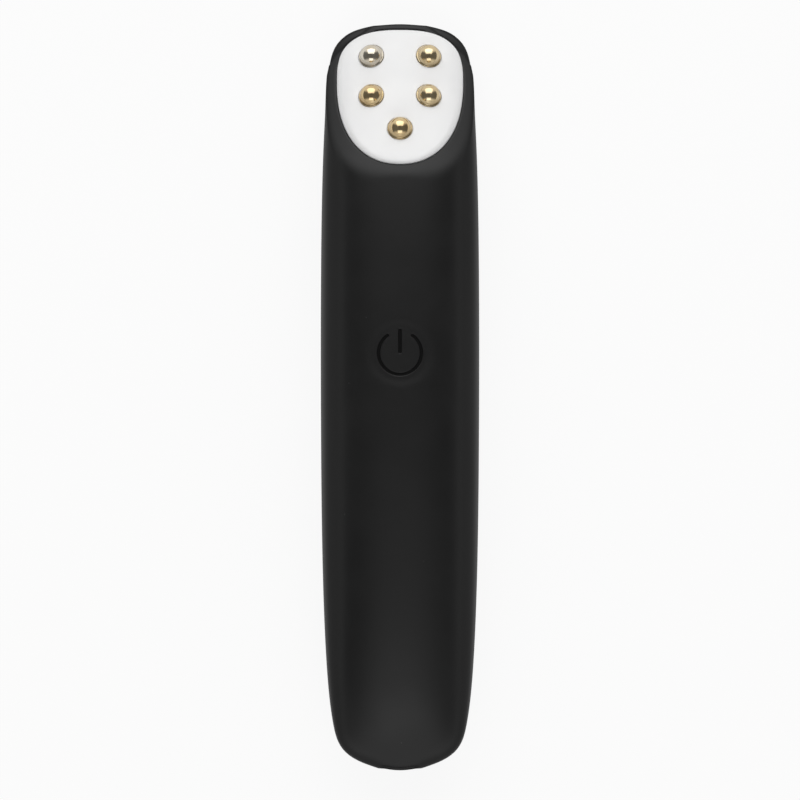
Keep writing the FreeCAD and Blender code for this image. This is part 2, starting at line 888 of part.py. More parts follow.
def tact_switch_base():
    body = new_body("tact_switch_base")
    face = sketch_on(body, "XY_Plane", "board_height + board_wall")
    rectangle(face, "switch_side / 2", "key_along - switch_side / 2", "key_along + switch_side / 2")
    pad(body, face, "switch_body")
    bore = sketch_on(body, "XY_Plane", "board_height + board_wall + switch_body")
    circle(bore, "plunger_radius + plunger_clearance", ("0", "key_along"))
    pocket(body, bore, "switch_body - 2.1")
    return body


def tact_switch_plunger():
    body = new_body("tact_switch_plunger")
    face = sketch_on(body, "XZ_Plane")
    low = "plunger_top - plunger_length"
    corners = [
        ("0", low),
        ("plunger_radius", low),
        ("plunger_radius", "plunger_top - 0.2"),
        ("plunger_radius - 0.2", "plunger_top"),
        ("0", "plunger_top"),
    ]
    outline(face, corners)
    revolve(body, face)
    place_at(body, ("0", "key_along", "0"))
    return body


def controller_chip():
    body = new_body("controller_chip")
    face = sketch_on(body, "XY_Plane", "board_height + board_wall")
    rectangle(face, "3.5", "-15.5", "-8.5")
    pad(body, face, "1")
    return body


def board_components():
    """Charge controller, inductor, capacitors and resistors on top of the board."""
    top = "board_height + board_wall"
    pieces = [
        box("charge_chip", ("3", "3", "0.9"), ("-5.5", "-40", top)),
        box("boost_inductor", ("4", "4", "1.8"), ("1.5", "-42", top)),
        box("motor_driver", ("2.9", "1.6", "1.1"), ("-1.5", "-1.5", top)),
    ]
    for number in range(6):
        spot = (f"{-6.2 + 0.1 * number}", f"{-34 + 5 * number}", top)
        pieces.append(box(f"resistor_{number + 1}", ("1", "1.6", "0.5"), spot))
    for number in range(4):
        spot = ("5.2", f"{-32 + 6 * number}", top)
        pieces.append(box(f"capacitor_{number + 1}", ("1.3", "2", "1.2"), spot))
    return group("board_components", pieces)


def micro_usb_socket():
    """A folded metal shell under the board, its two lower corners slanted."""
    body = new_body("micro_usb_socket")
    half, low, top = "socket_half_width", "board_height - socket_depth", "board_height"

    def section(wall):
        left = f"-({half} - {wall})"
        right = f"{half} - {wall}"
        slant = f"{half} - 1 - {wall} / 2"
        return [
            (f"-({slant})", f"{low} + {wall}"),
            (slant, f"{low} + {wall}"),
            (right, f"{low} + 1"),
            (right, f"{top} - {wall}"),
            (left, f"{top} - {wall}"),
            (left, f"{low} + 1"),
        ]

    # the XZ plane faces -Y, so its offset runs towards the tail
    face = sketch_on(body, "XZ_Plane", "-socket_mouth")
    outline(face, section("0"))
    shell = pad(body, face, "socket_length")
    shell.Reversed = True
    mouth = sketch_on(body, "XZ_Plane", "-socket_mouth")
    outline(mouth, section("socket_wall"))
    pocket(body, mouth, "socket_length - 0.6")
    return body


def usb_contact_tongue():
    """The plastic tongue that carries the socket's contacts."""
    return box(
        "usb_contact_tongue",
        ("4.4", "3.6", "0.6"),
        ("-2.2", "socket_mouth + socket_length - 0.6 - 3.6", "port_middle_height + 0.2"),
    )


# ---------------------------------------------------------------- battery


def battery_pouch():
    body = new_body("battery_pouch")
    face = sketch_on(body, "XZ_Plane", "-battery_tail_end")
    side, slope = "battery_width / 2", "1.6"
    low, high = "battery_height", "battery_height + battery_depth"
    corners = [
        (f"-({side} - {slope})", low),
        (f"{side} - {slope}", low),
        (side, f"{low} + {slope}"),
        (side, f"{high} - {slope}"),
        (f"{side} - {slope}", high),
        (f"-({side} - {slope})", high),
        (f"-({side})", f"{high} - {slope}"),
        (f"-({side})", f"{low} + {slope}"),
    ]
    outline(face, corners)
    cell = pad(body, face, "battery_length")
    cell.Reversed = True
    return body


def battery_foam_pad():
    return box(
        "battery_foam_pad",
        ("foam_width", "battery_length - 9", "battery_height - foam_height"),
        ("-foam_width / 2", "battery_tail_end + 7", "foam_height"),
    )


def battery_connector():
    return box("battery_connector", ("6", "4.5", "3.5"), ("-3", "-9.5", "board_height - 3.5"))


def lead(label, points):
    """A round wire along straight runs joined by arcs as large as the runs allow."""
    radius = size("lead_radius")
    corners = [V(*point) for point in points]
    edges = []
    start = corners[0]
    for before, corner, after in zip(corners, corners[1:], corners[2:]):
        back = (before - corner).normalize()
        on = (after - corner).normalize()
        run = min((before - corner).Length, (after - corner).Length)
        trim = 0.45 * run
        bisector = (back + on).normalize()
        half = back.getAngle(on) / 2
        reach = trim / math.cos(half)
        bend = trim * math.tan(half)
        into = corner + back * trim
        out = corner + on * trim
        edges.append(Part.LineSegment(start, into).toShape())
        edges.append(Part.Arc(into, corner + bisector * (reach - bend), out).toShape())
        start = out
    edges.append(Part.LineSegment(start, corners[-1]).toShape())
    path = Part.Wire(edges)
    first = (corners[1] - corners[0]).normalize()
    ring = Part.Wire([Part.Circle(corners[0], first, radius).toShape()])
    wire = path.makePipeShell([ring], True, False)
    expected = math.pi * radius**2 * path.Length
    if abs(wire.Volume - expected) > 0.02 * expected:
        raise RuntimeError(f"{label} has the wrong volume")
    return shaped(label, wire)


def pair_of_leads(label, spread, points):
    """Two parallel wires, mirrored about the middle of the wand."""
    wires = []
    for side, name in ((-1, "left"), (1, "right")):
        route = [(side * spread, along, height) for along, height in points]
        wires.append(lead(f"{label}_{name}", route))
    return group(label, wires)


def battery_leads():
    start = value("battery_tail_end + battery_length") + 1.5
    rise = value("battery_height + battery_depth / 2") + 3.6
    path = [(start - 1.4, rise), (start + 1.6, rise + 0.3), (-9.6, rise + 0.1)]
    return pair_of_leads("battery_leads", 1.2, path)


# ---------------------------------------------------------------- vibration motor


def motor_can():
    body = new_body("motor_can")
    face = sketch_on(body, "XY_Plane")
    radius, wall, bush = "can_radius", "can_wall", "bush_radius"
    start = "motor_tail_end"
    end = "motor_tail_end + motor_length"
    corners = [
        (radius, start),
        (radius, end),
        (bush, end),
        (bush, f"{end} - {wall}"),
        (f"{radius} - {wall}", f"{end} - {wall}"),
        (f"{radius} - {wall}", start),
    ]
    outline(face, corners)
    revolve(body, face)
    place_at(body, ("0", "0", "motor_height"))
    return body


def turned(label, corners):
    """A piece turned about the motor's axis; corners are radius and place along Y."""
    body = new_body(label)
    face = sketch_on(body, "XY_Plane")
    outline(face, corners)
    revolve(body, face)
    place_at(body, ("0", "0", "motor_height"))
    return body


def motor_end_cap():
    rear, start = "motor_tail_end - 1", "motor_tail_end"
    inner = "can_radius - can_wall - 0.02"
    return turned(
        "motor_end_cap",
        [
            ("0", rear),
            ("can_radius", rear),
            ("can_radius", start),
            (inner, start),
            (inner, f"{start} + 1"),
            ("0", f"{start} + 1"),
        ],
    )


def motor_bush():
    end = "motor_tail_end + motor_length"
    inner = "motor_shaft_radius + 0.03"
    outer = "bush_radius"
    return turned(
        "motor_bush",
        [(inner, f"{end} - 1"), (outer, f"{end} - 1"), (outer, f"{end} + 0.6"), (inner, f"{end} + 0.6")],
    )


def motor_shaft():
    start, end = "motor_tail_end + 1.3", "weight_start + weight_length + 0.5"
    radius = "motor_shaft_radius"
    return turned("motor_shaft", [("0", start), (radius, start), (radius, end), ("0", end)])


def motor_armature():
    start, end = "motor_tail_end + 2.2", "motor_tail_end + motor_length - 2"
    inner, outer = "motor_shaft_radius", "can_radius - can_wall - 0.7"
    return turned("motor_armature", [(inner, start), (outer, start), (outer, end), (inner, end)])


def eccentric_weight():
    """A half disc that hangs below the shaft, on a round hub."""
    start = ("0", "weight_start", "motor_height")
    disc = cylinder("weight_disc", "weight_radius", "weight_length", start, along_y=True)
    below = box(
        "weight_lower",
        ("2 * weight_radius + 2", "weight_length", "weight_radius + 1"),
        ("-weight_radius - 1", "weight_start", "motor_height - weight_radius - 1"),
    )
    hub = cylinder("weight_hub", "1.2", "weight_length", start, along_y=True)
    bore = cylinder(
        "weight_bore",
        "motor_shaft_radius",
        "weight_length + 2",
        ("0", "weight_start - 1", "motor_height"),
        along_y=True,
    )
    whole = fuse("weight_whole", [common("weight_half", disc, below), hub])
    return cut("eccentric_weight", whole, bore)


def motor_boot():
    """The rubber block that the motor is pushed into."""
    block = box(
        "boot_block",
        ("2 * boot_half_width", "12", "8.3"),
        ("-boot_half_width", "motor_tail_end + 1", "3.3"),
    )
    spot = ("0", "motor_tail_end", "motor_height")
    bore = cylinder("boot_bore", "can_radius + 0.02", "14", spot, along_y=True)
    return cut("motor_boot", block, bore)


def motor_leads():
    rear = value("motor_tail_end - 1")
    height = size("motor_height")
    points = [(rear, height), (rear - 4.4, height), (rear - 4.4, size("board_height") - 0.05)]
    return pair_of_leads("motor_leads", 1.2, points)


def heater_leads():
    top = value("board_height + board_wall")
    points = [(20.0, top + 0.05), (20.0, top + 4.1), (46.0, 13.6), (51.0, 14.0), (53.3, 18.1)]
    return pair_of_leads("heater_leads", 1.4, points)


# ---------------------------------------------------------------- the whole wand

shell = housing_shell()
nodes = [
    silicone_sleeve(),
    power_key_pad(),
    key_membrane(),
    key_actuator(),
    front_housing(shell),
    back_housing(shell),
    housing_screws(),
    treatment_plate(),
    bead_retaining_rings(),
    heat_spreader(),
    heater_film(),
    thermistor(),
    main_board(),
    board_screws(),
    tact_switch_base(),
    tact_switch_plunger(),
    controller_chip(),
    board_components(),
    micro_usb_socket(),
    usb_contact_tongue(),
    battery_pouch(),
    battery_foam_pad(),
    battery_connector(),
    battery_leads(),
    motor_can(),
    motor_end_cap(),
    motor_bush(),
    motor_shaft(),
    motor_armature(),
    eccentric_weight(),
    motor_boot(),
    motor_leads(),
    heater_leads(),
]
nodes += [massage_bead(label, spot) for label, spot in BEADS.items()]
doc.recompute()

for thing in doc.Objects:
    if "Invalid" in thing.State or "Error" in thing.State:
        raise RuntimeError(f"{thing.Label} did not recompute: {thing.State}")
for node in nodes:
    if node.Shape.isNull() or not node.Shape.isValid() or not node.Shape.Solids:
        raise RuntimeError(f"{node.Label} has no valid solid")

os.makedirs("parts", exist_ok=True)
for node in nodes:
    node.Shape.exportStep(os.path.join("parts", f"{node.Label}.step"))
    print(node.Label, len(node.Shape.Solids), round(node.Shape.Volume, 1))
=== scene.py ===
import math

import bmesh
import bpy
import numpy as np
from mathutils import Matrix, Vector
from mathutils.geometry import delaunay_2d_cdt


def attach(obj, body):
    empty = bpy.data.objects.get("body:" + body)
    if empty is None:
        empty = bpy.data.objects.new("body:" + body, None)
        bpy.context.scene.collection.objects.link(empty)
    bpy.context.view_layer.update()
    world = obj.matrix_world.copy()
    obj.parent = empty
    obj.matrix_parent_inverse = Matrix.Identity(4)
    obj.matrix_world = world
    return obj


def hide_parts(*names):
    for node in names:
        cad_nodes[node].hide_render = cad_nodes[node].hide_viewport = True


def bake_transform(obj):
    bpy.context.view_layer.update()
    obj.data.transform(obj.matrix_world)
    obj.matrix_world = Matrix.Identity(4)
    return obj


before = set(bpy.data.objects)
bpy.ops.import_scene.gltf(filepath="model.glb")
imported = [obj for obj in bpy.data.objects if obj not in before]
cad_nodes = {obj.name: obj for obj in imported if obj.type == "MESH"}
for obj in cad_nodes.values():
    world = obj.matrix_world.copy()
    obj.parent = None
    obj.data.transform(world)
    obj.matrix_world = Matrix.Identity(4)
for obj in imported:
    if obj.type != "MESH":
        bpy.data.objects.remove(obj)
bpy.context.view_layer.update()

# The wand lies on its back: X across, Y towards the head, Z out of the front face.
# Sizes and points are in millimetres until a piece is made, and in metres after that.
MM = 0.001

# ---- camera and light

CAMERA_HEIGHT = 3.0
CAMERA_LENS = 628.4
CAMERA_ALONG = -0.0006
ROOM_SIDE = (0.17, 0.17, 0.17)
ROOM_ABOVE = (0.14, 0.14, 0.14)
ROOM_HEAD_END = (1.0, 1.0, 1.0)
ROOM_TAIL_END = (0.82, 0.82, 0.82)


def stand(name, data):
    """A new object in the scene: a piece, a lamp or the camera."""
    made = bpy.data.objects.new(name, data)
    bpy.context.scene.collection.objects.link(made)
    return made


def stand_camera():
    """Straight above the middle of the wand, with its head at the top of the picture."""
    data = bpy.data.cameras.new("camera")
    data.lens = CAMERA_LENS
    data.clip_start = 0.01
    data.clip_end = 20.0
    camera = stand("camera", data)
    camera.location = (0.0, CAMERA_ALONG, CAMERA_HEIGHT)
    bpy.context.scene.camera = camera


def softbox(name, place, aim, width, depth, power):
    """A rectangular lamp in metres and watts that the camera doesn't see."""
    data = bpy.data.lights.new(name, "AREA")
    data.shape = "RECTANGLE"
    data.size = width
    data.size_y = depth
    data.energy = power
    lamp = stand(name, data)
    lamp.visible_camera = False
    lamp.location = place
    lamp.rotation_euler = (Vector(aim) - Vector(place)).to_track_quat("-Z", "Y").to_euler()


def light_scene():
    """Soft boxes beyond the head and the tail, in a room that is pale past both and dark at the sides."""
    softbox("softbox_head", (0.0, 0.56, 0.44), (0.0, 0.03, 0.0), 0.84, 0.72, 2.8)
    softbox("softbox_tail", (0.0, -0.4, 0.56), (0.0, 0.0, 0.0), 0.5, 0.34, 0.7)
    world = bpy.data.worlds.new("room")
    bpy.context.scene.world = world
    tree = empty_tree(world)
    parts = split(tree, add(tree, "TexCoord").outputs["Generated"])
    overhead = ramped(tree, math_node(tree, "ABSOLUTE", parts["X"]), 0.1, 0.4, 1.0, 0.0)
    room = between(tree, overhead, ROOM_SIDE, ROOM_ABOVE)
    room = between(tree, ramped(tree, parts["Y"], 0.4, 0.75), room, ROOM_HEAD_END)
    room = between(tree, ramped(tree, parts["Y"], -0.4, -0.75), room, ROOM_TAIL_END)
    seen = add(tree, "Background", {"Color": (1, 1, 1, 1), "Strength": 1.0})
    felt = add(tree, "Background", {"Color": room, "Strength": 1.0})
    by_camera = add(tree, "LightPath").outputs["Is Camera Ray"]
    pick = add(tree, "MixShader", {0: by_camera, 1: felt.outputs[0], 2: seen.outputs[0]})
    add(tree, "OutputWorld", {"Surface": pick.outputs[0]})


# ---- node helpers

# Noise seldom leaves this range.
NOISE_SPAN = (0.3, 0.7)


def empty_tree(holder):
    """The node tree of a material or a world, with nothing in it yet."""
    holder.use_nodes = True
    holder.node_tree.nodes.clear()
    return holder.node_tree


def add(tree, kind, inputs=None, **settings):
    """A shader node with its settings, and its inputs set to numbers or joined to sockets."""
    made = tree.nodes.new(f"ShaderNode{kind}")
    for name, setting in settings.items():
        setattr(made, name, setting)
    for name, given in (inputs or {}).items():
        socket = made.inputs[name]
        if kind == "Mix" and made.data_type == "RGBA" and name in ("A", "B"):
            socket = next(s for s in made.inputs if s.name == name and s.type == "RGBA")
        if isinstance(given, bpy.types.NodeSocket):
            tree.links.new(given, socket)
        else:
            socket.default_value = given
    return made


def join(tree, socket, target):
    """A link from an output to an input."""
    tree.links.new(socket, target)


def color_out(mix):
    """The colour output of a colour Mix node."""
    return next(s for s in mix.outputs if s.type == "RGBA")


def math_node(tree, operation, *values):
    """What a Math node makes of numbers or sockets."""
    return add(tree, "Math", dict(enumerate(values)), operation=operation).outputs[0]


def between(tree, factor, low, high):
    """A colour that goes from low to high with a factor."""
    low, high = (end if isinstance(end, bpy.types.NodeSocket) else (*end, 1) for end in (low, high))
    mix = add(tree, "Mix", {"Factor": factor, "A": low, "B": high}, data_type="RGBA")
    return color_out(mix)


def mixed(tree, factor, low, high):
    """A value that goes from low to high with a factor."""
    return add(tree, "Mix", {"Factor": factor, "A": low, "B": high}).outputs[0]


def ramped(tree, value, low, high, to_low=0.0, to_high=1.0):
    """A value taken from one range to another, with soft ends."""
    inputs = {"Value": value, "From Min": low, "From Max": high, "To Min": to_low, "To Max": to_high}
    return add(tree, "MapRange", inputs, interpolation_type="SMOOTHSTEP").outputs["Result"]


def split(tree, vector):
    """The X, Y and Z of a vector."""
    return add(tree, "SeparateXYZ", {"Vector": vector}).outputs


def noise(tree, place, detail):
    """Even noise of 0 to 1 over places counted in steps."""
    return add(tree, "TexNoise", {"Vector": place, "Scale": 1.0, "Detail": detail}).outputs[0]


def bands(tree, size, **inputs):
    """Bands that follow each other along Y, at a size in millimetres."""
    inputs = {"Vector": object_place(tree, size), **inputs}
    return add(tree, "TexWave", inputs, wave_type="BANDS", bands_direction="Y").outputs["Fac"]


def new_group(name, inputs, outputs):
    """A shader node group with named inputs (with defaults) and value outputs."""
    tree = bpy.data.node_groups.new(name, "ShaderNodeTree")
    for label, default in inputs.items():
        socket = tree.interface.new_socket(label, in_out="INPUT", socket_type="NodeSocketFloat")
        socket.default_value = default
    for label in outputs:
        tree.interface.new_socket(label, in_out="OUTPUT", socket_type="NodeSocketFloat")
    entry = tree.nodes.new("NodeGroupInput")
    leave = tree.nodes.new("NodeGroupOutput")
    return tree, entry.outputs, leave.inputs


def object_place(tree, size=None):
    """The place on the object in metres, or counted in steps of a size given in millimetres."""
    place = add(tree, "TexCoord").outputs["Object"]
    if size is None:
        return place
    scale = math_node(tree, "DIVIDE", 1.0 / MM, size)
    return add(tree, "VectorMath", {0: place, "Scale": scale}, operation="SCALE").outputs[0]


def made_fine_grain():
    """The fine, even texture of a moulded surface, and slow drifts in its tone."""
    tree, given, out = new_group("fine_grain", {"Size": 0.2, "Drift Size": 12.0}, ["Height", "Drift"])
    grain = noise(tree, object_place(tree, given["Size"]), 2.0)
    drift = noise(tree, object_place(tree, given["Drift Size"]), 3.0)
    join(tree, grain, out["Height"])
    join(tree, ramped(tree, drift, *NOISE_SPAN), out["Drift"])
    return tree


def made_dust():
    """Scattered specks: where a random cell is kept, a small dot near the cell's middle."""
    tree, given, out = new_group("dust", {"Spacing": 1.5, "Share": 0.1, "Speck": 0.05}, ["Mask"])
    cell = add(tree, "TexVoronoi", {"Vector": object_place(tree, given["Spacing"]), "Scale": 1.0})
    near = math_node(tree, "LESS_THAN", cell.outputs["Distance"], given["Speck"])
    chance = add(tree, "SeparateColor", {"Color": cell.outputs["Color"]}).outputs["Red"]
    kept = math_node(tree, "LESS_THAN", chance, given["Share"])
    join(tree, math_node(tree, "MULTIPLY", near, kept), out["Mask"])
    return tree


def made_edge_wear():
    """Outer edges rubbed by handling, broken up by a fine noise."""
    tree, given, out = new_group("edge_wear", {"Reach": 0.06, "Size": 0.8}, ["Mask"])
    pointed = add(tree, "NewGeometry").outputs["Pointiness"]
    rough = noise(tree, object_place(tree, given["Size"]), 3.0)
    edge = ramped(tree, pointed, 0.51, math_node(tree, "ADD", 0.5, given["Reach"]))
    join(tree, math_node(tree, "MULTIPLY", edge, rough), out["Mask"])
    return tree


def made_draw_lines():
    """Fine lines along Y, as drawn or brushed metal has."""
    tree, given, out = new_group("draw_lines", {"Size": 0.08, "Stretch": 30.0}, ["Height"])
    parts = split(tree, object_place(tree, given["Size"]))
    slow = math_node(tree, "DIVIDE", parts["Y"], given["Stretch"])
    lined = add(tree, "CombineXYZ", {"X": parts["X"], "Y": slow, "Z": parts["Z"]})
    join(tree, noise(tree, lined.outputs[0], 2.0), out["Height"])
    return tree


fine_grain = made_fine_grain()
dust = made_dust()
edge_wear = made_edge_wear()
draw_lines = made_draw_lines()


def use(tree, group, **inputs):
    """A node group placed in a material with its own values."""
    made = add(tree, "Group", node_tree=group)
    for name, given in inputs.items():
        made.inputs[name.replace("_", " ")].default_value = given
    return made.outputs


def new_material(name, **constants):
    """An empty material with a Principled shader whose own sockets hold the constants."""
    material = bpy.data.materials.new(name)
    tree = empty_tree(material)
    shader = add(tree, "BsdfPrincipled")
    for label, given in constants.items():
        shader.inputs[label.replace("_", " ")].default_value = given
    add(tree, "OutputMaterial", {"Surface": shader.outputs[0]})
    return material, tree, shader.inputs


def bumped(tree, height, depth, target, strength=1.0):
    """Relief of a depth in millimetres from a height of 0 to 1."""
    bump = add(tree, "Bump", {"Height": height, "Distance": depth * MM, "Strength": strength})
    join(tree, bump.outputs[0], target)


# ---- the power sign

KEY_ALONG = 9.45
SIGN_RADIUS = 4.58
SIGN_LINE = 0.66
SIGN_GAP = math.radians(36)
SIGN_BAR_LOW = -0.15
SIGN_BAR_HIGH = 5.15
SIGN_DULL = 0.65
# Metallic share inside the sign's strokes; with their darker colour it paints shade into the engraved groove.
SIGN_SHADE_METALLIC = 0.65


def sign_distance(x, y):
    """How far a point of the key is from the middle line of the sign's strokes."""
    turn = np.arctan2(x, y)
    end_x = SIGN_RADIUS * math.sin(SIGN_GAP)
    end_y = SIGN_RADIUS * math.cos(SIGN_GAP)
    arc = np.abs(np.hypot(x, y) - SIGN_RADIUS)
    end = np.hypot(np.abs(x) - end_x, y - end_y)
    arc = np.where(np.abs(turn) > SIGN_GAP, arc, end)
    low = SIGN_BAR_LOW + SIGN_LINE / 2
    high = SIGN_BAR_HIGH - SIGN_LINE / 2
    bar = np.hypot(x, y - np.clip(y, low, high))
    return np.minimum(arc, bar)


def distance(tree, x, y):
    """How far a point is from the middle."""
    both = (math_node(tree, "MULTIPLY", part, part) for part in (x, y))
    return math_node(tree, "SQRT", math_node(tree, "ADD", *both))


def made_power_sign():
    """1 inside the strokes of the power sign on the key: an open ring and a bar."""
    tree, given, out = new_group("power_sign", {"Softness": 0.05}, ["Mask"])
    parts = split(tree, object_place(tree))
    x = math_node(tree, "MULTIPLY", parts["X"], 1.0 / MM)
    y = math_node(tree, "MULTIPLY_ADD", parts["Y"], 1.0 / MM, -KEY_ALONG)
    x = math_node(tree, "ABSOLUTE", x)
    arc = math_node(tree, "ABSOLUTE", math_node(tree, "SUBTRACT", distance(tree, x, y), SIGN_RADIUS))
    end_x = math_node(tree, "SUBTRACT", x, SIGN_RADIUS * math.sin(SIGN_GAP))
    end_y = math_node(tree, "SUBTRACT", y, SIGN_RADIUS * math.cos(SIGN_GAP))
    open_end = math_node(tree, "LESS_THAN", math_node(tree, "ARCTAN2", x, y), SIGN_GAP)
    ring = mixed(tree, open_end, arc, distance(tree, end_x, end_y))
    held = math_node(tree, "MAXIMUM", y, SIGN_BAR_LOW + SIGN_LINE / 2)
    held = math_node(tree, "MINIMUM", held, SIGN_BAR_HIGH - SIGN_LINE / 2)
    bar = distance(tree, x, math_node(tree, "SUBTRACT", y, held))
    nearest = math_node(tree, "MINIMUM", ring, bar)
    inner = math_node(tree, "SUBTRACT", SIGN_LINE / 2, given["Softness"])
    outer = math_node(tree, "ADD", SIGN_LINE / 2, given["Softness"])
    join(tree, ramped(tree, nearest, inner, outer, 1.0, 0.0), out["Mask"])
    return tree


power_sign = made_power_sign()

# ---- finishes of the outside


def drifting(name, grain, drift, dark, light, **constants):
    """A material with fine grain and a colour that drifts from dark to light, to be worked further."""
    material, tree, shader = new_material(name, **constants)
    texture = use(tree, fine_grain, Size=grain, Drift_Size=drift)
    return material, tree, shader, texture, between(tree, texture["Drift"], dark, light)


def surface(tree, shader, color, guide, rough, span=(0.0, 1.0)):
    """The colour of a material, and its roughness as a guide goes over its span."""
    join(tree, color, shader["Base Color"])
    join(tree, ramped(tree, guide, *span, *rough), shader["Roughness"])


def silicone(name, with_sign=False):
    """Matt black silicone with a soft hand-rubbed sheen and a few specks of dust."""
    dark, light = (0.0012, 0.0012, 0.0013), (0.002, 0.002, 0.0021)
    material, tree, shader, texture, color = drifting(name, 0.16, 16.0, dark, light, IOR=1.5)
    specks = use(tree, dust, Spacing=4.0, Share=0.3, Speck=0.018)
    color = between(tree, specks["Mask"], color, (0.09, 0.09, 0.09))
    rough = ramped(tree, texture["Drift"], 0.0, 1.0, 0.47, 0.52)
    facing = add(tree, "LayerWeight", {"Blend": 0.5}).outputs["Facing"]
    rough = mixed(tree, ramped(tree, facing, 0.15, 0.5), rough, 0.75)
    flank = ramped(tree, facing, 0.2, 0.36, 0.43, 0.3)
    rim = ramped(tree, facing, 0.55, 0.9, 0.0, 0.5)
    if with_sign:
        # Inside the sign's strokes: a darker colour and a dark metal finish that paint the groove's shade, on
        # a duller surface.
        mask = use(tree, power_sign, Softness=0.06)["Mask"]
        color = between(tree, mask, color, (0.0009, 0.0009, 0.0009))
        rough = mixed(tree, mask, rough, SIGN_DULL)
        join(tree, math_node(tree, "MULTIPLY", mask, SIGN_SHADE_METALLIC), shader["Metallic"])
    join(tree, color, shader["Base Color"])
    join(tree, rough, shader["Roughness"])
    join(tree, math_node(tree, "ADD", flank, rim), shader["Specular IOR Level"])
    bumped(tree, texture["Height"], 0.012, shader["Normal"], 0.5)
    return material


def plate_white():
    """Smooth white gloss plastic, a little creamier where it drifts."""
    dark, light = (0.82, 0.82, 0.82), (0.85, 0.85, 0.848)
    gloss = {"IOR": 1.49, "Coat_Weight": 0.25, "Coat_Roughness": 0.06}
    material, tree, shader, texture, color = drifting("plate_white", 0.9, 9.0, dark, light, **gloss)
    surface(tree, shader, color, texture["Drift"], (0.2, 0.26))
    bumped(tree, texture["Height"], 0.002, shader["Normal"], 0.3)
    return material


def bead_gold(name, bright, deep):
    """Polished plating: a bright metal with slightly deeper patches and hairline wear."""
    material, tree, shader, texture, color = drifting(name, 0.35, 2.4, bright, deep, Metallic=1.0)
    surface(tree, shader, color, texture["Height"], (0.13, 0.19), NOISE_SPAN)
    bumped(tree, texture["Height"], 0.003, shader["Normal"], 0.25)
    return material


# ---- finishes of the inside


def rubbed(tree, color, light, shine, lift, reach, size):
    """A colour that is paler where the outer edges have been rubbed."""
    wear = use(tree, edge_wear, Reach=reach, Size=size)
    pale = tuple(min(1.0, lift + shine * part) for part in light)
    return between(tree, wear["Mask"], color, pale)


def moulded_plastic(name, dark, light, rough=0.5, grain=0.25, specular=0.5):
    """Plain moulded plastic or rubber, rubbed paler at its outer edges."""
    made = drifting(name, grain, 7.0, dark, light, Specular_IOR_Level=specular)
    material, tree, shader, texture, color = made
    color = rubbed(tree, color, light, 1.35, 0.02, 0.08, 0.6)
    surface(tree, shader, color, texture["Drift"], (rough - 0.05, rough + 0.05))
    bumped(tree, texture["Height"], 0.02, shader["Normal"], 0.5)
    return material


def worked_metal(name, dark, light, rough=0.32, lines=0.09):
    """Drawn or turned metal: fine lines, drifting colour and brighter edges."""
    material, tree, shader, _, color = drifting(name, 0.4, 4.0, dark, light, Metallic=1.0)
    lined = use(tree, draw_lines, Size=lines, Stretch=26.0)["Height"]
    color = rubbed(tree, color, light, 1.2, 0.0, 0.07, 0.5)
    surface(tree, shader, color, lined, (rough - 0.08, rough + 0.08), NOISE_SPAN)
    bumped(tree, lined, 0.006, shader["Normal"], 0.6)
    return material


def two_leads(name, left, right):
    """Glossy insulated wires: one colour left of the wand's middle, the other right of it."""
    material, tree, shader = new_material(name, Specular_IOR_Level=0.45)
    texture = use(tree, fine_grain, Size=0.5, Drift_Size=3.0)
    side = math_node(tree, "GREATER_THAN", split(tree, object_place(tree))["X"], 0.0)
    color = between(tree, side, left, right)
    dull = between(tree, texture["Drift"], (1, 1, 1), (0.82, 0.82, 0.82))
    both = {"Factor": 1.0, "A": color, "B": dull}
    toned = add(tree, "Mix", both, data_type="RGBA", blend_type="MULTIPLY")
    surface(tree, shader, color_out(toned), texture["Height"], (0.32, 0.44), NOISE_SPAN)
    return material


def board_green():
    """Green solder mask with paler copper tracks under it and a bare edge of glass cloth."""
    dark, light = (0.008, 0.09, 0.035), (0.012, 0.12, 0.05)
    material, tree, shader, texture, bare = drifting("board_green", 0.3, 5.0, dark, light)
    colors = {"Color1": (0, 0, 0, 1), "Color2": (0, 0, 0, 1), "Mortar": (1, 1, 1, 1)}
    inputs = {"Vector": object_place(tree, 3.2), **colors, "Scale": 1.0, "Mortar Size": 0.035}
    tracks = add(tree, "TexBrick", inputs, offset=0.37, squash=0.6).outputs["Color"]
    color = between(tree, tracks, bare, (0.03, 0.2, 0.08))
    surface(tree, shader, color, texture["Drift"], (0.28, 0.36))
    relief = add(tree, "RGBToBW", {"Color": tracks})
    bumped(tree, relief.outputs[0], 0.03, shader["Normal"])
    return material


def mixed_components():
    """Small ceramic and epoxy blocks, each in one of a few browns, greys and blacks, with tinned ends."""
    material, tree, shader = new_material("component_mix")
    texture = use(tree, fine_grain, Size=0.3, Drift_Size=2.0)
    cell = add(tree, "TexVoronoi", {"Vector": object_place(tree, 3.5), "Scale": 1.0})
    chance = add(tree, "SeparateColor", {"Color": cell.outputs["Color"]}).outputs["Red"]
    step = math_node(tree, "GREATER_THAN", chance, 0.5)
    body = between(tree, step, (0.32, 0.22, 0.12), (0.03, 0.03, 0.035))
    color = between(tree, texture["Drift"], body, (0.4, 0.38, 0.35))
    surface(tree, shader, color, texture["Height"], (0.35, 0.55), NOISE_SPAN)
    return material


def heater_amber():
    """Amber film with a thin etched track going to and fro."""
    dark, light = (0.5, 0.2, 0.02), (0.62, 0.28, 0.04)
    material, tree, shader, texture, film = drifting("heater_amber", 0.5, 6.0, dark, light, Coat_Weight=0.3)
    etched = ramped(tree, bands(tree, 9.0, Scale=2.2, Distortion=0.0), 0.62, 0.72)
    color = between(tree, etched, film, (0.3, 0.1, 0.015))
    surface(tree, shader, color, texture["Drift"], (0.22, 0.32))
    bumped(tree, etched, 0.02, shader["Normal"])
    return material


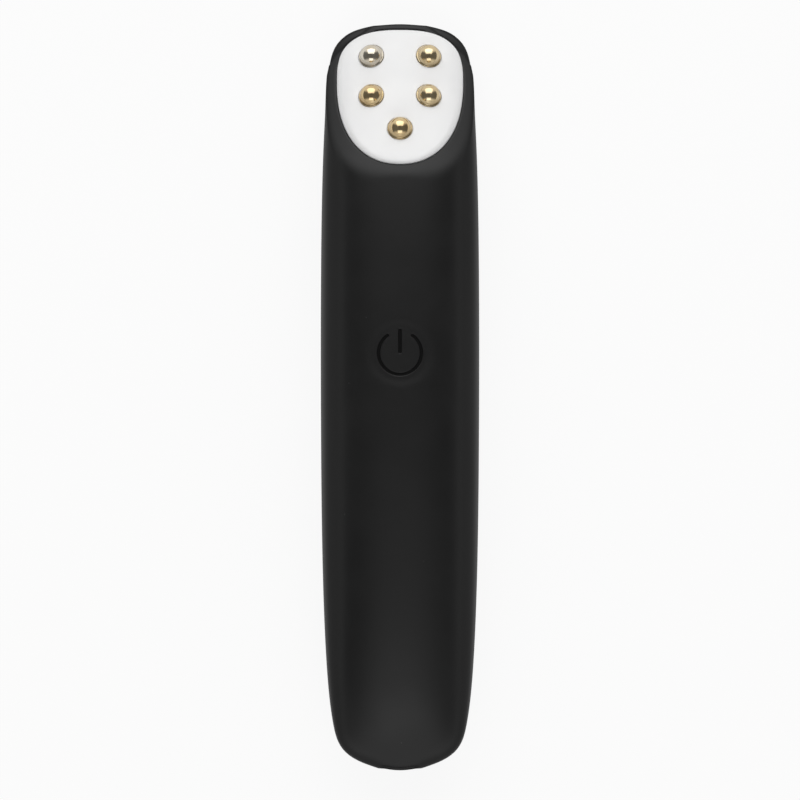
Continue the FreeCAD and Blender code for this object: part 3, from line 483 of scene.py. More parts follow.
def pouch_foil():
    """Crinkled silver laminate."""
    dark, light = (0.5, 0.51, 0.53), (0.66, 0.67, 0.69)
    material, tree, shader, texture, color = drifting("pouch_foil", 2.6, 8.0, dark, light, Metallic=0.85)
    surface(tree, shader, color, texture["Height"], (0.24, 0.4), NOISE_SPAN)
    bumped(tree, texture["Height"], 0.12, shader["Normal"], 0.6)
    return material


def open_foam():
    """Dark foam with open cells."""
    material, tree, shader = new_material("open_foam", Specular_IOR_Level=0.2)
    cell = add(tree, "TexVoronoi", {"Vector": object_place(tree, 0.35), "Scale": 1.0})
    away = cell.outputs["Distance"]
    color = between(tree, away, (0.02, 0.02, 0.022), (0.11, 0.11, 0.115))
    surface(tree, shader, color, away, (0.8, 0.98), (0.0, 0.6))
    bumped(tree, away, 0.1, shader["Normal"])
    return material


def copper_winding():
    """Enamelled copper wire, turn beside turn."""
    material, tree, shader = new_material("copper_winding", Metallic=0.9, Coat_Weight=0.4)
    turns = bands(tree, 1.0, Scale=1.6, Distortion=0.3, Detail=1.0)
    color = between(tree, turns, (0.22, 0.06, 0.02), (0.72, 0.3, 0.12))
    surface(tree, shader, color, turns, (0.42, 0.26))
    bumped(tree, turns, 0.12, shader["Normal"])
    return material


def tongue_black():
    """Black plastic with five gold contact strips on the side that meets the plug."""
    material, tree, shader = new_material("tongue_black", IOR=1.5)
    across = split(tree, object_place(tree, 0.65))["X"]
    within = math_node(tree, "PINGPONG", math_node(tree, "ADD", across, 0.5), 0.5)
    strip = math_node(tree, "GREATER_THAN", within, 0.28)
    reach = math_node(tree, "LESS_THAN", math_node(tree, "ABSOLUTE", across), 2.5)
    downward = split(tree, add(tree, "NewGeometry").outputs["Normal"])["Z"]
    under = math_node(tree, "LESS_THAN", downward, -0.5)
    gold = math_node(tree, "MULTIPLY", math_node(tree, "MULTIPLY", strip, reach), under)
    color = between(tree, gold, (0.02, 0.02, 0.022), (0.9, 0.66, 0.3))
    surface(tree, shader, color, gold, (0.5, 0.25))
    join(tree, gold, shader["Metallic"])
    return material


# ---- the wand's outer form

HALF_WIDTH = 17.02
TAIL_REACH = 90.2
HEAD_REACH = 70.0
WIDEST_ALONG = 10.0
SEAM_HEIGHT = 10.7
FRONT_RISE = 15.3
BACK_DROP = 10.8
TAIL_SQUARENESS = 8.7
HEAD_SQUARENESS = 10.5
TAIL_END_HALF_WIDTH = 3.5
HEAD_END_HALF_WIDTH = 4.8
END_HALF_DEPTH = 1.0
TAIL_SEAM_LIFT = 0.8
HEAD_SEAM_DROP = 4.5
HALF_STATIONS = 6
LENGTH_POWER = 2.6
HEAD_RISE_POWER = 3.5
BACK_END_POWER = 8.0
BACK_END_ROOT = 2.5
FRONT_POWER = 2.3
BACK_POWER = 3.0


def form_row(step):
    """Place, half-width, seam height, rise and drop at one of the form's stations."""
    head = step > 0
    along = abs(math.sin(math.pi / 2 * step / HALF_STATIONS)) ** (2 / LENGTH_POWER)
    left = max(0.0, 1 - along**LENGTH_POWER)
    half_width = HALF_WIDTH * left ** (1 / (HEAD_SQUARENESS if head else TAIL_SQUARENESS))
    rise = FRONT_RISE * max(0.0, 1 - along ** (HEAD_RISE_POWER if head else LENGTH_POWER)) ** 0.5
    drop = BACK_DROP * max(0.0, 1 - along**BACK_END_POWER) ** (1 / BACK_END_ROOT)
    seam = SEAM_HEIGHT + (-HEAD_SEAM_DROP if head else TAIL_SEAM_LIFT) * along**4
    if abs(step) == HALF_STATIONS:
        half_width = HEAD_END_HALF_WIDTH if head else TAIL_END_HALF_WIDTH
        rise = drop = END_HALF_DEPTH
    reach = HEAD_REACH if head else TAIL_REACH
    return WIDEST_ALONG + math.copysign(reach * along, step), half_width, seam, rise, drop


def smoothed_rows(rows, samples):
    """The clamped cubic spline that has the rows as its poles."""
    spans = len(rows) - 3
    knots = np.concatenate([np.zeros(3), np.arange(spans + 1), np.full(3, spans)])
    at = np.linspace(0, spans, samples)
    at[-1] = spans - 1e-9
    basis = [((at >= low) & (at < high)).astype(float) for low, high in zip(knots, knots[1:])]
    for degree in (1, 2, 3):
        risen = []
        for k in range(len(basis) - 1):
            here = knots[k + degree] - knots[k]
            there = knots[k + degree + 1] - knots[k + 1]
            first = (at - knots[k]) / here * basis[k] if here else 0.0
            second = (knots[k + degree + 1] - at) / there * basis[k + 1] if there else 0.0
            risen.append(first + second)
        basis = risen
    return np.array(basis).T @ np.array(rows)


FORM = smoothed_rows([form_row(step) for step in range(-HALF_STATIONS, HALF_STATIONS + 1)], 6001)
HEAD_END = WIDEST_ALONG + HEAD_REACH
TAIL_END = WIDEST_ALONG - TAIL_REACH
HEAD_DOME = 0.45
HEAD_DOME_WIDTH = 5.0
HEAD_DOME_LENGTH = 3.0
TAIL_DOME = 0.62
TAIL_DOME_WIDTH = 3.8
TAIL_DOME_LENGTH = 6.0
HEAD_FLARE = 0.047
HEAD_FLARE_START = 21
HEAD_FLARE_LENGTH = 16
TIP_FLARE = 0.16
TIP_FLARE_LENGTH = 4


def soft_step(share):
    """Goes from 0 to 1 with level ends."""
    return share**2 * (3 - 2 * share)


NEAR_HEAD = np.clip((FORM[:, 0] - HEAD_END + HEAD_FLARE_START) / HEAD_FLARE_LENGTH, 0, 1)
NEAR_TIP = np.clip((FORM[:, 0] - HEAD_END + TIP_FLARE_LENGTH) / TIP_FLARE_LENGTH, 0, 1)
FORM[:, 1] *= 1 + HEAD_FLARE * soft_step(NEAR_HEAD)
FORM[:, 1] *= 1 + TIP_FLARE * NEAR_TIP**2


def front_height(x, y):
    """Height of the front face over a point."""
    half_width, seam, rise = (np.interp(y, FORM[:, 0], FORM[:, column]) for column in (1, 2, 3))
    return seam + rise * (1 - np.abs(x / half_width) ** FRONT_POWER) ** (1 / FRONT_POWER)


# ---- the slanted head

HEAD_TILT = math.radians(29.0)
HEAD_CROWN = 34.0
HEAD_ALONG = 64.35
HEAD_HEIGHT = 15.2
PLATE_HALF_WIDTH = 13.6
PLATE_TO_TIP = 11.6
PLATE_TO_HEEL = 21.7
PLATE_SHIFT = 5.0
PLATE_PROUD = 0.3
PLATE_WALL = 1.9
TIP_POWER = 3.2
HEEL_POWER = 2.15


def on_head(across, along, depth=0.0):
    """A point under the head's rounded face, at a depth below it."""
    up = np.sqrt((HEAD_CROWN - depth) ** 2 - np.square(across)) - HEAD_CROWN
    return from_head(across, along, up)


def from_head(across, along, up):
    """A point of the head's own tilted frame, as a point of the wand."""
    y = HEAD_ALONG + along * math.cos(HEAD_TILT) + up * math.sin(HEAD_TILT)
    z = HEAD_HEIGHT - along * math.sin(HEAD_TILT) + up * math.cos(HEAD_TILT)
    return np.stack(np.broadcast_arrays(across, y, z), axis=-1)


def above_face(points):
    """How far points stand out of the head's face; their places along it."""
    ahead, raised = points[..., 1] - HEAD_ALONG, points[..., 2] - HEAD_HEIGHT
    along = ahead * math.cos(HEAD_TILT) - raised * math.sin(HEAD_TILT)
    up = ahead * math.sin(HEAD_TILT) + raised * math.cos(HEAD_TILT)
    return up - (np.sqrt(HEAD_CROWN**2 - points[..., 0] ** 2) - HEAD_CROWN), along


def plate_edge(turn, inset=0.0):
    """The plate's outline at angles round its middle, drawn in by inset."""
    tip = np.sin(turn) >= 0
    squareness = np.where(tip, TIP_POWER, HEEL_POWER)
    reach = np.where(tip, PLATE_TO_TIP, PLATE_TO_HEEL) - inset
    wide = np.abs(np.cos(turn)) / (PLATE_HALF_WIDTH - inset)
    long = np.abs(np.sin(turn)) / reach
    away = (wide**squareness + long**squareness) ** (-1 / squareness)
    return away * np.cos(turn), PLATE_SHIFT + away * np.sin(turn)


# ---- making pieces


class Shell:
    """Points and faces of one piece, gathered ring by ring."""

    def __init__(self):
        self.points = []
        self.faces = []
        self.firm = []

    def ring(self, points):
        """Points side by side."""
        first = len(self.points)
        self.points.extend(tuple(float(part) * MM for part in point) for point in points)
        return list(range(first, len(self.points)))

    def join(self, one, other, closed=True, skip=()):
        """Faces between two rings with as many points each, apart from the places to skip."""
        last = len(one) if closed else len(one) - 1
        for k in range(last):
            following = (k + 1) % len(one)
            if k not in skip:
                self.faces.append((one[k], one[following], other[following], other[k]))

    def next_ring(self, before, points):
        """A ring that is joined to the one before it."""
        made = self.ring(points)
        self.join(before, made)
        return made

    def sheet(self, rows):
        """A grid of points with faces between its rows."""
        rows = [self.ring(row) for row in rows]
        for one, other in zip(rows, rows[1:]):
            self.join(one, other, closed=False)
        return rows

    def make(self, name, body, material, levels=0, wall=0.0, sharp=None):
        """The piece, with its normals outward; it rides a body unless that is None."""
        mesh = bpy.data.meshes.new(name)
        mesh.from_pydata(self.points, [], self.faces)
        shape = bmesh.new()
        shape.from_mesh(mesh)
        bmesh.ops.recalc_face_normals(shape, faces=shape.faces)
        middle = sum((f.calc_center_median() for f in shape.faces), Vector()) / len(shape.faces)
        facing = sum(f.calc_area() * f.normal.dot(f.calc_center_median() - middle) for f in shape.faces)
        if facing < 0:
            bmesh.ops.reverse_faces(shape, faces=shape.faces)
        firm = {frozenset(pair) for ring in self.firm for pair in zip(ring, ring[1:] + ring[:1])}
        crease = shape.edges.layers.float.new("crease_edge")
        for edge in shape.edges:
            if frozenset((edge.verts[0].index, edge.verts[1].index)) in firm:
                edge.smooth = False
                edge[crease] = 1.0
        shape.to_mesh(mesh)
        shape.free()
        mesh.shade_smooth()
        if sharp is not None:
            mesh.set_sharp_from_angle(angle=math.radians(sharp))
        else:
            keep_firm(mesh, firm)
        piece = stand(name, mesh)
        mesh.materials.append(material)
        if levels:
            finer = piece.modifiers.new("finer", "SUBSURF")
            finer.levels = finer.render_levels = levels
        if wall:
            thicker = piece.modifiers.new("wall", "SOLIDIFY")
            thicker.thickness = wall * MM
            thicker.offset = -1.0
        if body:
            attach(piece, body)
        return piece


def keep_firm(mesh, firm):
    """Marks the edges of the firm rings as sharp."""
    for edge in mesh.edges:
        if frozenset(edge.vertices) in firm:
            edge.use_edge_sharp = True


def rim_of(rows):
    """The outer points of a grid of rows, once round."""
    return rows[0][:-1] + [row[-1] for row in rows[:-1]] + rows[-1][:0:-1] + [row[0] for row in rows[:0:-1]]


def bent(first, corner, last, shares=(0, 0.33, 0.67, 1)):
    """Points of the soft curve from first to last that a corner pulls on."""
    return [(1 - share) ** 2 * first + 2 * share * (1 - share) * corner + share**2 * last for share in shares]


# ---- the silicone skin

SKIN_LINES = 64
KEY_SPAN = 8
KEY_STEP = 1.375
KEY_HOLE_RADIUS = 6.6
KEY_RADIUS = 5.4
DISH_DEPTH = 0.2
DISH_FLAT = 5.5
DISH_OUT = 7.7
KEY_WALL = 0.5
BACK_SOFTNESS = 0.004
BODY_START = -70.0
BODY_ROWS = 36
HEAD_ROWS = 25
SKIN_LIP_DEPTH = 1.5
SKIN_LIP_HALFWAY = 0.9
LIP_EDGE_AT_TIP = 0.5
LIP_EDGE_MORE_AT_HEEL = 1.1
LIP_EDGE_SHARE = 0.45
MOUTH_ROUND = 0.45
MOUTH_ROUND_SHARE = 0.3
SKIN_WALL = 0.5
PORT_HALF_WIDTH = 4.45
PORT_HALF_DEPTH = 1.75
PORT_HEIGHT = 11.55
PORT_EDGE = 0.3
PORT_LINING = (1.7, 1.0)
PORT_SWELL = 0.2
PORT_SWELL_REACH = 2.2


def dish(away):
    """How far the skin is dished at a distance from the key's middle."""
    share = np.clip((DISH_OUT - away) / (DISH_OUT - DISH_FLAT), 0, 1)
    return DISH_DEPTH * soft_step(share)


def key_face(x, y):
    """A point of the front face near the key, dish included."""
    z = front_height(x, KEY_ALONG + y) - dish(np.hypot(x, y))
    return np.stack(np.broadcast_arrays(x, KEY_ALONG + y, z), axis=-1)


def section_line_starts():
    """Half-width and half-height of the skin's lines: the first on top, the rest evenly round."""
    turn = np.linspace(0, math.pi, 6001)
    squareness = np.where(turn <= math.pi / 2, FRONT_POWER, BACK_POWER)
    across = np.abs(np.sin(turn)) ** (2 / squareness)
    up = np.sign(np.cos(turn)) * np.abs(np.cos(turn)) ** (2 / squareness)
    real_up = up * np.where(up > 0, FRONT_RISE, BACK_DROP)
    length = np.concatenate([[0], np.cumsum(np.hypot(np.diff(across * HALF_WIDTH), np.diff(real_up)))])
    even = np.linspace(0, length[-1], SKIN_LINES // 2 + 1)
    right = np.stack([np.interp(even, length, across), np.interp(even, length, up)], axis=1)
    left = right[-2:0:-1] * (-1, 1)
    return np.concatenate([right, left])


class SkinLine:
    """One line along the skin, from the charging port to the edge of the slanted face."""

    def __init__(self, across, up):
        reach = FORM[:, 3] if up > 0 else FORM[:, 4]
        x, y, z = FORM[:, 1] * across, FORM[:, 0], FORM[:, 2] + reach * up
        z = (z + np.sqrt(z * z + BACK_SOFTNESS)) / 2
        points = np.stack([x, self.rounded(x, y), z], axis=1)
        points = self.past_port(points)
        points = self.up_to_face(points)
        steps = np.linalg.norm(np.diff(points, axis=0), axis=1)
        self.points = points
        self.length = np.concatenate([[0], np.cumsum(steps)])

    def rounded(self, x, y):
        """Both end faces taken round: their middle stays and their sides draw in."""
        near_head = np.clip((y - HEAD_END + HEAD_DOME_LENGTH) / HEAD_DOME_LENGTH, 0, 1) ** 2
        near_tail = np.clip((TAIL_END + TAIL_DOME_LENGTH - y) / TAIL_DOME_LENGTH, 0, 1) ** 1.5
        head_drawn_in = HEAD_DOME * near_head * (1 - np.exp(-((x / HEAD_DOME_WIDTH) ** 2)))
        tail_drawn_in = TAIL_DOME * near_tail * (1 - np.exp(-((x / TAIL_DOME_WIDTH) ** 2)))
        return y + tail_drawn_in - head_drawn_in

    def past_port(self, points):
        """Leaves out what lies in the port's rounded opening, and swells the skin above and below it."""
        beside = np.maximum(np.abs(points[:, 0]) - (PORT_HALF_WIDTH - PORT_HALF_DEPTH), 0)
        clear = np.hypot(beside, points[:, 2] - PORT_HEIGHT) - PORT_HALF_DEPTH
        first = int(np.argmax(clear >= 0))
        share = clear[first] / (clear[first] - clear[first - 1])
        edge = points[first] + (points[first - 1] - points[first]) * share
        points = np.vstack([edge, points[first:]])
        swell = np.exp(-((np.linalg.norm(points - edge, axis=1) / PORT_SWELL_REACH) ** 2))
        swell *= ((edge[2] - PORT_HEIGHT) / PORT_HALF_DEPTH) ** 2
        points[:, 1] = np.maximum(points[:, 1] - PORT_SWELL * swell, TAIL_END)
        return points

    def up_to_face(self, points):
        """Ends the line at the slanted face, going up the blunt tip where it has to."""
        over, along = above_face(points)
        crossed = (over >= 0) & (along > -30)
        if not crossed.any():
            tip = points[-1].copy()
            flat = HEAD_CROWN - math.sqrt(HEAD_CROWN**2 - tip[0] ** 2)
            rise = (tip[1] - HEAD_ALONG) * math.sin(HEAD_TILT) + flat
            top = HEAD_HEIGHT - rise / math.cos(HEAD_TILT)
            climb = np.linspace(tip[2], top, 12)[1:]
            return np.vstack([points, [(tip[0], tip[1], z) for z in climb]])
        last = int(np.argmax(crossed))
        share = over[last] / (over[last] - over[last - 1])
        edge = points[last] + (points[last - 1] - points[last]) * share
        return np.vstack([points[:last], edge])

    def at(self, length):
        """Points at lengths along the line."""
        return np.stack([np.interp(length, self.length, self.points[:, k]) for k in range(3)], axis=-1)

    def length_at(self, y):
        """How long the line is up to places along the wand."""
        return np.interp(y, self.points[:, 1], self.length)


def skin_lines_rows(lines):
    """The skin's rings from port to slanted face, each with a point on every line."""
    key_low = KEY_ALONG - KEY_SPAN * KEY_STEP
    key_high = KEY_ALONG + KEY_SPAN * KEY_STEP
    middle = np.linspace(BODY_START, key_low, BODY_ROWS + 1)[:-1]
    key_rows = np.linspace(key_low, key_high, 2 * KEY_SPAN + 1)
    tail_shares = np.array([0.06, 0.14, 0.24, 0.35, 0.47, 0.6, 0.73, 0.86])
    head_shares = 1 - (1 - np.linspace(0, 1, HEAD_ROWS + 2)[1:-1]) ** 1.15
    columns = []
    for line in lines:
        start = line.length_at(BODY_START)
        past = line.length_at(key_high)
        stop = line.length[-1] - line.edge
        tail = PORT_EDGE + (start - PORT_EDGE) * tail_shares
        head = past + (stop - past) * head_shares
        body = line.length_at(np.concatenate([middle, key_rows]))
        columns.append(line.at(np.concatenate([tail, body, head])))
    first_key_row = len(tail_shares) + len(middle)
    return np.stack(columns, axis=1), first_key_row


def silicone_skin(material):
    """The sleeve: a body of rings, the port's edge at one end, the lip round the plate at the other."""
    lines = [SkinLine(*start) for start in section_line_starts()]
    rims = np.array([line.points[-1] for line in lines])
    along = above_face(rims)[1]
    turn = np.arctan2(along - PLATE_SHIFT, rims[:, 0])
    mouth_across, mouth_along = plate_edge(turn)
    span = np.hypot(mouth_across - rims[:, 0], mouth_along - along)
    to_heel = (1 - np.sin(turn)) / 2
    edges = np.minimum(LIP_EDGE_AT_TIP + LIP_EDGE_MORE_AT_HEEL * to_heel**2, LIP_EDGE_SHARE * span)
    for line, edge in zip(lines, edges):
        line.edge = edge

    def lip(distance):
        """Points of the face at a distance in from the rim, towards the plate."""
        share = distance / span
        across = rims[:, 0] + (mouth_across - rims[:, 0]) * share
        return on_head(across, along + (mouth_along - along) * share)

    shell = Shell()
    rows, first_key_row = skin_lines_rows(lines)
    port_edge = np.array([line.points[0] for line in lines])
    port_start = np.array([line.at(PORT_EDGE) for line in lines])
    inward = port_edge + (0, PORT_EDGE, 0)
    rings = [port_edge + (0, depth, 0) for depth in PORT_LINING]
    rings += bent(inward, port_edge, port_start)
    body_start = len(rings)
    rings += list(rows)
    before = np.array([line.at(line.length[-1] - line.edge) for line in lines])
    after = lip(edges)
    rings += bent(before, rims, after, (0, 0.25, 0.5, 0.75, 1))
    mouth_round = np.minimum(MOUTH_ROUND, MOUTH_ROUND_SHARE * span)
    start = lip(span - mouth_round)
    rings += [after + (start - after) * share for share in (0.33, 0.67)]
    corner = lip(span)
    down = on_head(mouth_across, mouth_along, mouth_round[0])
    rings += bent(start, corner, down)
    rings += [on_head(mouth_across, mouth_along, depth) for depth in (SKIN_LIP_HALFWAY, SKIN_LIP_DEPTH)]
    indices = [shell.ring(ring) for ring in rings]
    key_low = body_start + first_key_row
    key_rows = range(key_low, key_low + 2 * KEY_SPAN)
    window = {k % SKIN_LINES for k in range(-KEY_SPAN, KEY_SPAN)}
    for number, (one, other) in enumerate(zip(indices, indices[1:])):
        shell.join(one, other, skip=window if number in key_rows else ())
    key_opening(shell, indices[key_low : key_low + 2 * KEY_SPAN + 1])
    return shell.make("silicone_skin", "wand", material, levels=1, wall=SKIN_WALL)


def key_opening(shell, rows):
    """Rings from the square left in the skin to the round hole of the key."""
    columns = [k % SKIN_LINES for k in range(-KEY_SPAN, KEY_SPAN + 1)]
    low = [rows[0][k] for k in columns]
    right = [row[columns[-1]] for row in rows[1:-1]]
    high = [rows[-1][k] for k in reversed(columns)]
    left = [row[columns[0]] for row in reversed(rows[1:-1])]
    square = low + right + high + left
    place = np.array([shell.points[k][:2] for k in square]) / MM - (0, KEY_ALONG)
    turn = np.arctan2(place[:, 1], place[:, 0])

    def circle(radius):
        """A circle with one point for each of the square's."""
        return radius * np.stack([np.cos(turn), np.sin(turn)], axis=1)

    outer = square
    flat_rings = [(place + circle(9.0)) / 2]
    flat_rings += [circle(radius) for radius in (9.0, 8.2, 7.6, 7.1, KEY_HOLE_RADIUS)]
    for flat in flat_rings:
        outer = shell.next_ring(outer, key_face(*flat.T))
    shell.firm.append(outer)
    shell.next_ring(outer, key_face(*circle(KEY_HOLE_RADIUS).T) - (0, 0, KEY_WALL))


# ---- the power key

PAD_MIDDLE_WALL = 1.2
PAD_UNDER_TOP = 25.3
SIGN_DEPTH = 0.22
SIGN_SIDE = 0.09
PAD_CELLS = 132
RING_PARTS = 30


def key_pad(material):
    """The round pad with the sign engraved in it, and a plain underside."""
    even = np.linspace(-1, 1, PAD_CELLS + 1)
    u, v = np.meshgrid(even, even)
    x = KEY_RADIUS * u * np.sqrt(1 - v * v / 2)
    y = KEY_RADIUS * v * np.sqrt(1 - u * u / 2)
    top = key_face(x, y)
    share = np.clip((SIGN_LINE / 2 + SIGN_SIDE - sign_distance(x, y)) / (2 * SIGN_SIDE), 0, 1)
    top[..., 2] -= SIGN_DEPTH * soft_step(share)
    shell = Shell()
    rim = rim_of(shell.sheet(top))
    rim_points = np.array([shell.points[k] for k in rim]) / MM
    outer = rim
    shell.firm.append(rim)
    underside = [(share, KEY_WALL) for share in (1.0, 0.78)]
    underside += [(share, PAD_MIDDLE_WALL) for share in (0.76, 0.4, 0.02)]
    for inset, depth in underside:
        ring = rim_points.copy()
        ring[:, :2] = (ring[:, :2] - (0, KEY_ALONG)) * inset + (0, KEY_ALONG)
        ring[:, 2] = np.minimum(ring[:, 2], PAD_UNDER_TOP) - depth
        outer = shell.next_ring(outer, ring)
    shell.faces.append(tuple(outer))
    piece = shell.make("key_pad", "power_key", material)
    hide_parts("power_key_pad")


def key_membrane(material):
    """The thin ring round the pad, in narrow pieces that each reach from the pad to the skin."""
    half = math.pi / RING_PARTS
    for number in range(RING_PARTS):
        middle = 2 * half * number
        turn = middle + np.linspace(-half, half, 5)
        radii = np.linspace(KEY_RADIUS, KEY_HOLE_RADIUS, 9)
        x = radii[:, None] * np.cos(turn)
        y = radii[:, None] * np.sin(turn)
        shell = Shell()
        top = key_face(x, y)
        rims = [rim_of(shell.sheet(rows)) for rows in (top, top - (0, 0, KEY_WALL))]
        shell.join(*rims)
        shell.firm += rims
        piece = shell.make(f"key_ring_{number + 1}", None, material)
        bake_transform(piece)
        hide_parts("key_membrane")


# ---- the treatment plate

BEAD_SPOTS = ((-6.16, 10.1), (6.16, 10.1), (-6.16, 0.3), (6.16, 0.3), (0.0, -8.1))
BEAD_SEAT_RADIUS = 2.8
BEAD_SEAT_ROUND = 0.14
BEAD_STEM_HOLE = 1.15
BEAD_SEAT_DEPTH = 0.4
PLATE_ROLL = 1.35
PLATE_ROLL_DROP = 0.6
PLATE_CLEARANCE = 0.05
SKIRT_OUT = 1.65
SKIRT_IN = 2.65
SKIRT_DEPTH = 1.0
PLATE_POINTS = 160
SEAT_POINTS = 48
SHEET_SPACING = 0.85


def bead_circle(spot, radius, height):
    """A circle square to the plate at a bead's place, as across, along and up."""
    turn = np.linspace(0, 2 * math.pi, SEAT_POINTS, endpoint=False)
    top = HEAD_CROWN + PLATE_PROUD
    lean = math.asin(spot[0] / top)
    beside = radius * np.cos(turn)
    across = spot[0] + beside * math.cos(lean) + height * math.sin(lean)
    along = spot[1] + radius * np.sin(turn)
    up = top * math.cos(lean) - HEAD_CROWN - beside * math.sin(lean) + height * math.cos(lean)
    return across, along, up


def fill_sheet(shell, outline, holes, inset, hole_radius, depth):
    """Triangles over the plate between its outline and the bead holes, following the head's curve."""
    flat = [ring[1] for ring in (outline, *holes)]
    loops = np.vstack(flat)
    row_spacing = SHEET_SPACING * 0.866
    across, along = np.meshgrid(np.arange(-14, 14, SHEET_SPACING), np.arange(-18, 18, row_spacing))
    across[::2] += SHEET_SPACING / 2
    lattice = np.stack([across.ravel(), along.ravel()], axis=1)
    turn = np.arctan2(lattice[:, 1] - PLATE_SHIFT, lattice[:, 0])
    edge = np.stack(plate_edge(turn, inset + SHEET_SPACING * 0.7), axis=1)
    middle = np.array((0, PLATE_SHIFT))
    inside = np.linalg.norm(lattice - middle, axis=1) < np.linalg.norm(edge - middle, axis=1)
    for spot in BEAD_SPOTS:
        inside &= np.hypot(*(lattice - spot).T) > hole_radius + SHEET_SPACING * 0.6
    lattice = lattice[inside]
    indices = outline[0] + [k for ring in holes for k in ring[0]]
    indices = indices + shell.ring(on_head(lattice[:, 0], lattice[:, 1], depth))
    points = [Vector(place) for place in np.vstack([loops, lattice])]
    edges, first = [], 0
    for ring in flat:
        count = len(ring)
        edges += [(first + k, first + (k + 1) % count) for k in range(count)]
        first += count
    placed, _, faces, origins, _, _ = delaunay_2d_cdt(points, edges, [], 1, 1e-5)
    for face in faces:
        centre = sum((placed[k] for k in face), Vector((0, 0))) / len(face)
        if any((centre - Vector(spot)).length < hole_radius * 0.97 for spot in BEAD_SPOTS):
            continue
        shell.faces.append(tuple(indices[origins[k][0]] for k in face))


def treatment_plate(material):
    """The white plate: a rolled edge, five seats for the beads, and a skirt behind."""
    shell = Shell()
    turn = np.linspace(0, 2 * math.pi, PLATE_POINTS, endpoint=False)

    def outline(inset, depth):
        """A ring round the plate, and its places on the flat."""
        across, along = plate_edge(turn, inset)
        return shell.ring(on_head(across, along, depth)), np.stack([across, along], axis=1)

    inner_top = outline(PLATE_ROLL, -PLATE_PROUD)
    previous = inner_top[0]
    rings = []
    for share in np.sin(np.linspace(0, math.pi / 2, 11))[1:]:
        drop = PLATE_ROLL_DROP * (1 - math.sqrt(1 - share**2))
        rings.append((PLATE_ROLL - (PLATE_ROLL - PLATE_CLEARANCE) * share, drop - PLATE_PROUD))
    under = PLATE_WALL - PLATE_PROUD
    skirt_foot = under + SKIRT_DEPTH
    rings += [(PLATE_CLEARANCE, 0.9), (PLATE_CLEARANCE, under)]
    rings += [(SKIRT_OUT, under), (SKIRT_OUT, skirt_foot), (SKIRT_IN, skirt_foot)]
    for inset, depth in rings:
        previous = shell.next_ring(previous, on_head(*plate_edge(turn, inset), depth))
    inner_bottom = outline(SKIRT_IN, under)
    shell.join(previous, inner_bottom[0])
    top_holes, bottom_holes = [], []
    for spot in BEAD_SPOTS:
        across, along, _ = bead_circle(spot, BEAD_SEAT_RADIUS + BEAD_SEAT_ROUND, 0.0)
        edge = shell.ring(on_head(across, along, -PLATE_PROUD))
        top_holes.append((edge, np.stack([across, along], axis=1)))
        previous = edge
        for extra, drop in ((0.35, 0.02), (0.09, 0.07), (0.0, 0.14)):
            across, along, _ = bead_circle(spot, BEAD_SEAT_RADIUS + BEAD_SEAT_ROUND * extra, 0.0)
            previous = shell.next_ring(previous, on_head(across, along, drop - PLATE_PROUD))
        for radius in (BEAD_SEAT_RADIUS, BEAD_STEM_HOLE):
            previous = shell.next_ring(previous, from_head(*bead_circle(spot, radius, -BEAD_SEAT_DEPTH)))
        across, along, _ = bead_circle(spot, BEAD_STEM_HOLE, -PLATE_WALL)
        previous = shell.next_ring(previous, on_head(across, along, under))
        bottom_holes.append((previous, np.stack([across, along], axis=1)))
    fill_sheet(shell, inner_top, top_holes, PLATE_ROLL, BEAD_SEAT_RADIUS + BEAD_SEAT_ROUND, -PLATE_PROUD)
    fill_sheet(shell, inner_bottom, bottom_holes, SKIRT_IN, BEAD_STEM_HOLE, under)
    piece = shell.make("plate", "wand", material, sharp=42.0)
    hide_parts("treatment_plate")


# ---- floor

FLOOR_REACH = 3.0
FLOOR_DROP = 0.00005


def lay_floor():
    """A pale floor with a soft shadow; from below it isn't there."""
    mesh = bpy.data.meshes.new("floor")
    corners = [(-1, -1), (1, -1), (1, 1), (-1, 1)]
    points = [(x * FLOOR_REACH, y * FLOOR_REACH, -FLOOR_DROP) for x, y in corners]
    mesh.from_pydata(points, [], [(0, 1, 2, 3)])
    floor = stand("floor", mesh)
    material = bpy.data.materials.new("floor_pale")
    tree = empty_tree(material)
    paint = add(tree, "BsdfPrincipled", {"Roughness": 0.9, "Specular IOR Level": 0.1})
    texture = use(tree, fine_grain, Size=3.0, Drift_Size=300.0)
    color = between(tree, texture["Drift"], (0.9, 0.9, 0.9), (0.92, 0.92, 0.92))
    join(tree, color, paint.inputs["Base Color"])
    glow = add(tree, "Emission", {"Color": (1, 1, 1, 1), "Strength": 1.0})
    rays = add(tree, "LightPath").outputs
    seen = math_node(tree, "MAXIMUM", rays["Is Camera Ray"], rays["Is Glossy Ray"])
    seen = math_node(tree, "MAXIMUM", seen, rays["Is Transmission Ray"])
    lifted = math_node(tree, "MULTIPLY", seen, 0.9)
    pale = add(tree, "MixShader", {0: lifted, 1: paint.outputs[0], 2: glow.outputs[0]})
    clear = add(tree, "BsdfTransparent")
    below = add(tree, "NewGeometry").outputs["Backfacing"]
    both = add(tree, "MixShader", {0: below, 1: pale.outputs[0], 2: clear.outputs[0]})
    add(tree, "OutputMaterial", {"Surface": both.outputs[0]})
    mesh.materials.append(material)


# ---- dressing the carried-over nodes


def dress(material, *names):
    """A finish for nodes that keep their own shape."""
    for name in names:
        node = cad_nodes[name]
        if not node.material_slots:
            node.data.materials.append(material)
        for held in node.material_slots:
            held.material = material


